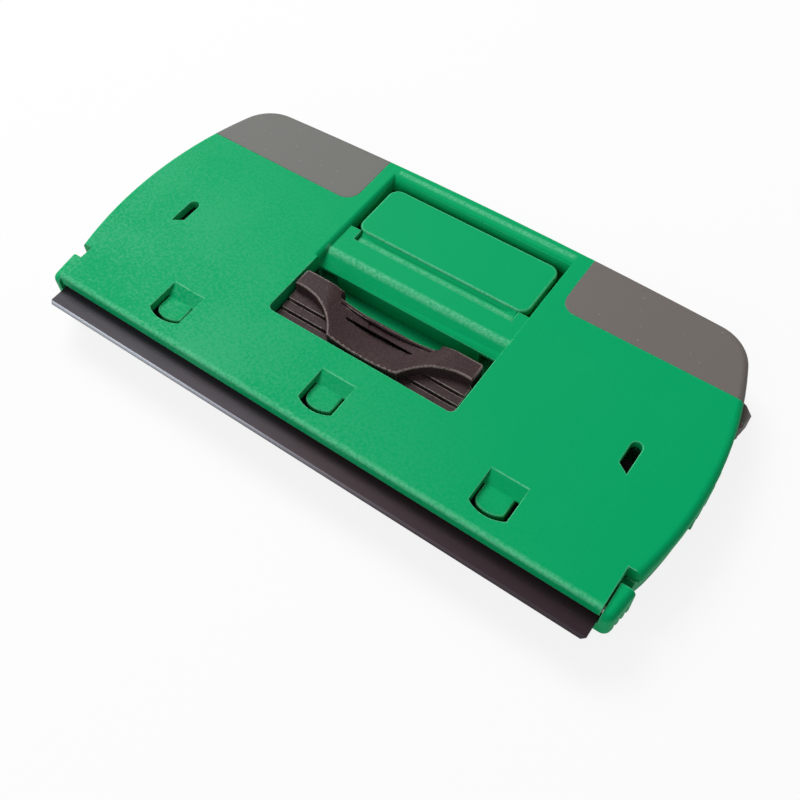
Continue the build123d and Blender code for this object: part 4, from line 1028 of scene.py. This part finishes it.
@dataclass(frozen=True)
class Studio:
    """Pale floor, soft light and the photograph's point of view.

    Attributes:
        camera_place: Where the photograph was taken from.
        camera_target: The point that the camera looks at.
        camera_roll: How far it is turned about its own axis.
        lens: Its focal length in millimetres.
        sensor: The width of its sensor in millimetres.
        clip: The nearest and the farthest distance that it sees.
        floor_size: The length of the floor's sides.
        floor_colour: The floor's colour.
        floor_roughness: Its roughness.
        floor_glow: How far the camera sees plain white in its place.
        world_colour: The colour of the room's light.
        world_strength: Its strength on the object.
        lamps: The lamps.
    """

    camera_place: Vector = Vector((0.05802, -0.07548, 0.13135))
    camera_target: Vector = Vector((0.006012, -0.007658, 0.0))
    camera_roll: float = math.radians(-2.5655)
    lens: float = 43.65
    sensor: float = 36.0
    clip: tuple[float, float] = (0.005, 10.0)
    floor_size: float = 3.0
    floor_colour: Colour = (0.86, 0.86, 0.86)
    floor_roughness: float = 0.9
    floor_glow: float = 0.85
    world_colour: Colour = (1.0, 1.0, 1.0)
    world_strength: float = 0.28
    lamps: tuple[Lamp, ...] = (
        Lamp("key", azimuth=-122, elevation=50, distance=0.8, size=0.4, power=5.4),
        Lamp("fill", azimuth=-15, elevation=35, distance=0.6, size=0.5, power=0.8),
    )

    def build(self) -> None:
        """Set up the whole studio."""
        self.set_floor()
        self.set_world()
        self.set_camera()
        for lamp in self.lamps:
            lamp.hang(Vector((0, 0, 0)))
        bpy.context.scene.view_settings.view_transform = "Standard"

    def set_floor(self) -> None:
        """Lay a pale floor that shows as white but keeps the object's shadow."""
        bpy.ops.object.select_all(action="DESELECT")
        bpy.ops.mesh.primitive_plane_add(size=self.floor_size)
        floor = bpy.context.active_object
        floor.name = "floor"
        paint = Paint("pale_floor")
        paint.set(base_color=self.floor_colour, roughness=self.floor_roughness)
        values = {"Color": self.world_colour, "Strength": 1.0}
        glow = paint.node("ShaderNodeEmission", values=values)
        plain = Signal(paint, paint.shader.outputs[0])
        seen = self.seen(paint) * self.floor_glow
        mixed = paint.node("ShaderNodeMixShader", values={0: seen, 1: plain, 2: glow})
        paint.feed(paint.tree.nodes["Material Output"].inputs["Surface"], mixed)
        floor.data.materials.append(paint.material)

    def seen(self, paint: Paint) -> Signal:
        """1 for a ray from the camera, a mirror or a clear piece, and 0 for other light."""
        rays = [paint.node("ShaderNodeLightPath", out=name) for name in
                ("Is Camera Ray", "Is Glossy Ray", "Is Transmission Ray")]
        return paint.maths("MINIMUM", rays[0] + rays[1] + rays[2], 1.0)

    def set_world(self) -> None:
        """Fill the room with an even soft light, behind a white that only the camera sees."""
        world = bpy.data.worlds.new("soft_room")
        world.use_nodes = True
        tree = world.node_tree
        light = tree.nodes["Background"]
        light.inputs["Strength"].default_value = self.world_strength
        white = tree.nodes.new("ShaderNodeBackground")
        for background in (light, white):
            background.inputs["Color"].default_value = (*self.world_colour, 1)
        mixed = tree.nodes.new("ShaderNodeMixShader")
        rays = tree.nodes.new("ShaderNodeLightPath")
        tree.links.new(rays.outputs["Is Camera Ray"], mixed.inputs[0])
        tree.links.new(light.outputs[0], mixed.inputs[1])
        tree.links.new(white.outputs[0], mixed.inputs[2])
        tree.links.new(mixed.outputs[0], tree.nodes["World Output"].inputs["Surface"])
        bpy.context.scene.world = world

    def set_camera(self) -> None:
        """Stand the camera where the photograph was taken from."""
        data = bpy.data.cameras.new("photo_camera")
        data.lens = self.lens
        data.sensor_width = self.sensor
        data.clip_start, data.clip_end = self.clip
        camera = bpy.data.objects.new("photo_camera", data)
        bpy.context.scene.collection.objects.link(camera)
        way = self.camera_target - self.camera_place
        upright = way.to_track_quat("-Z", "Y")
        camera.location = self.camera_place
        camera.rotation_euler = (upright @ Quaternion((0, 0, 1), self.camera_roll)).to_euler()
        bpy.context.scene.camera = camera


def main() -> None:
    """Build the scraper's pieces and the studio, and report them."""
    logging.basicConfig(level=logging.INFO, format="%(message)s")
    finishes = Finishes.mixed()
    assemblies = (
        BaseAssembly(Body.BASE),
        CoverAssembly(Body.COVER),
        LatchAssembly(Body.LATCH),
        SliderAssembly(Body.SLIDER),
    )
    for assembly in assemblies:
        assembly.build(finishes)
    Studio().build()
    LOG.info("%d pieces", sum(len(assembly.pieces) for assembly in assemblies))


if __name__ == "__main__":
    main()
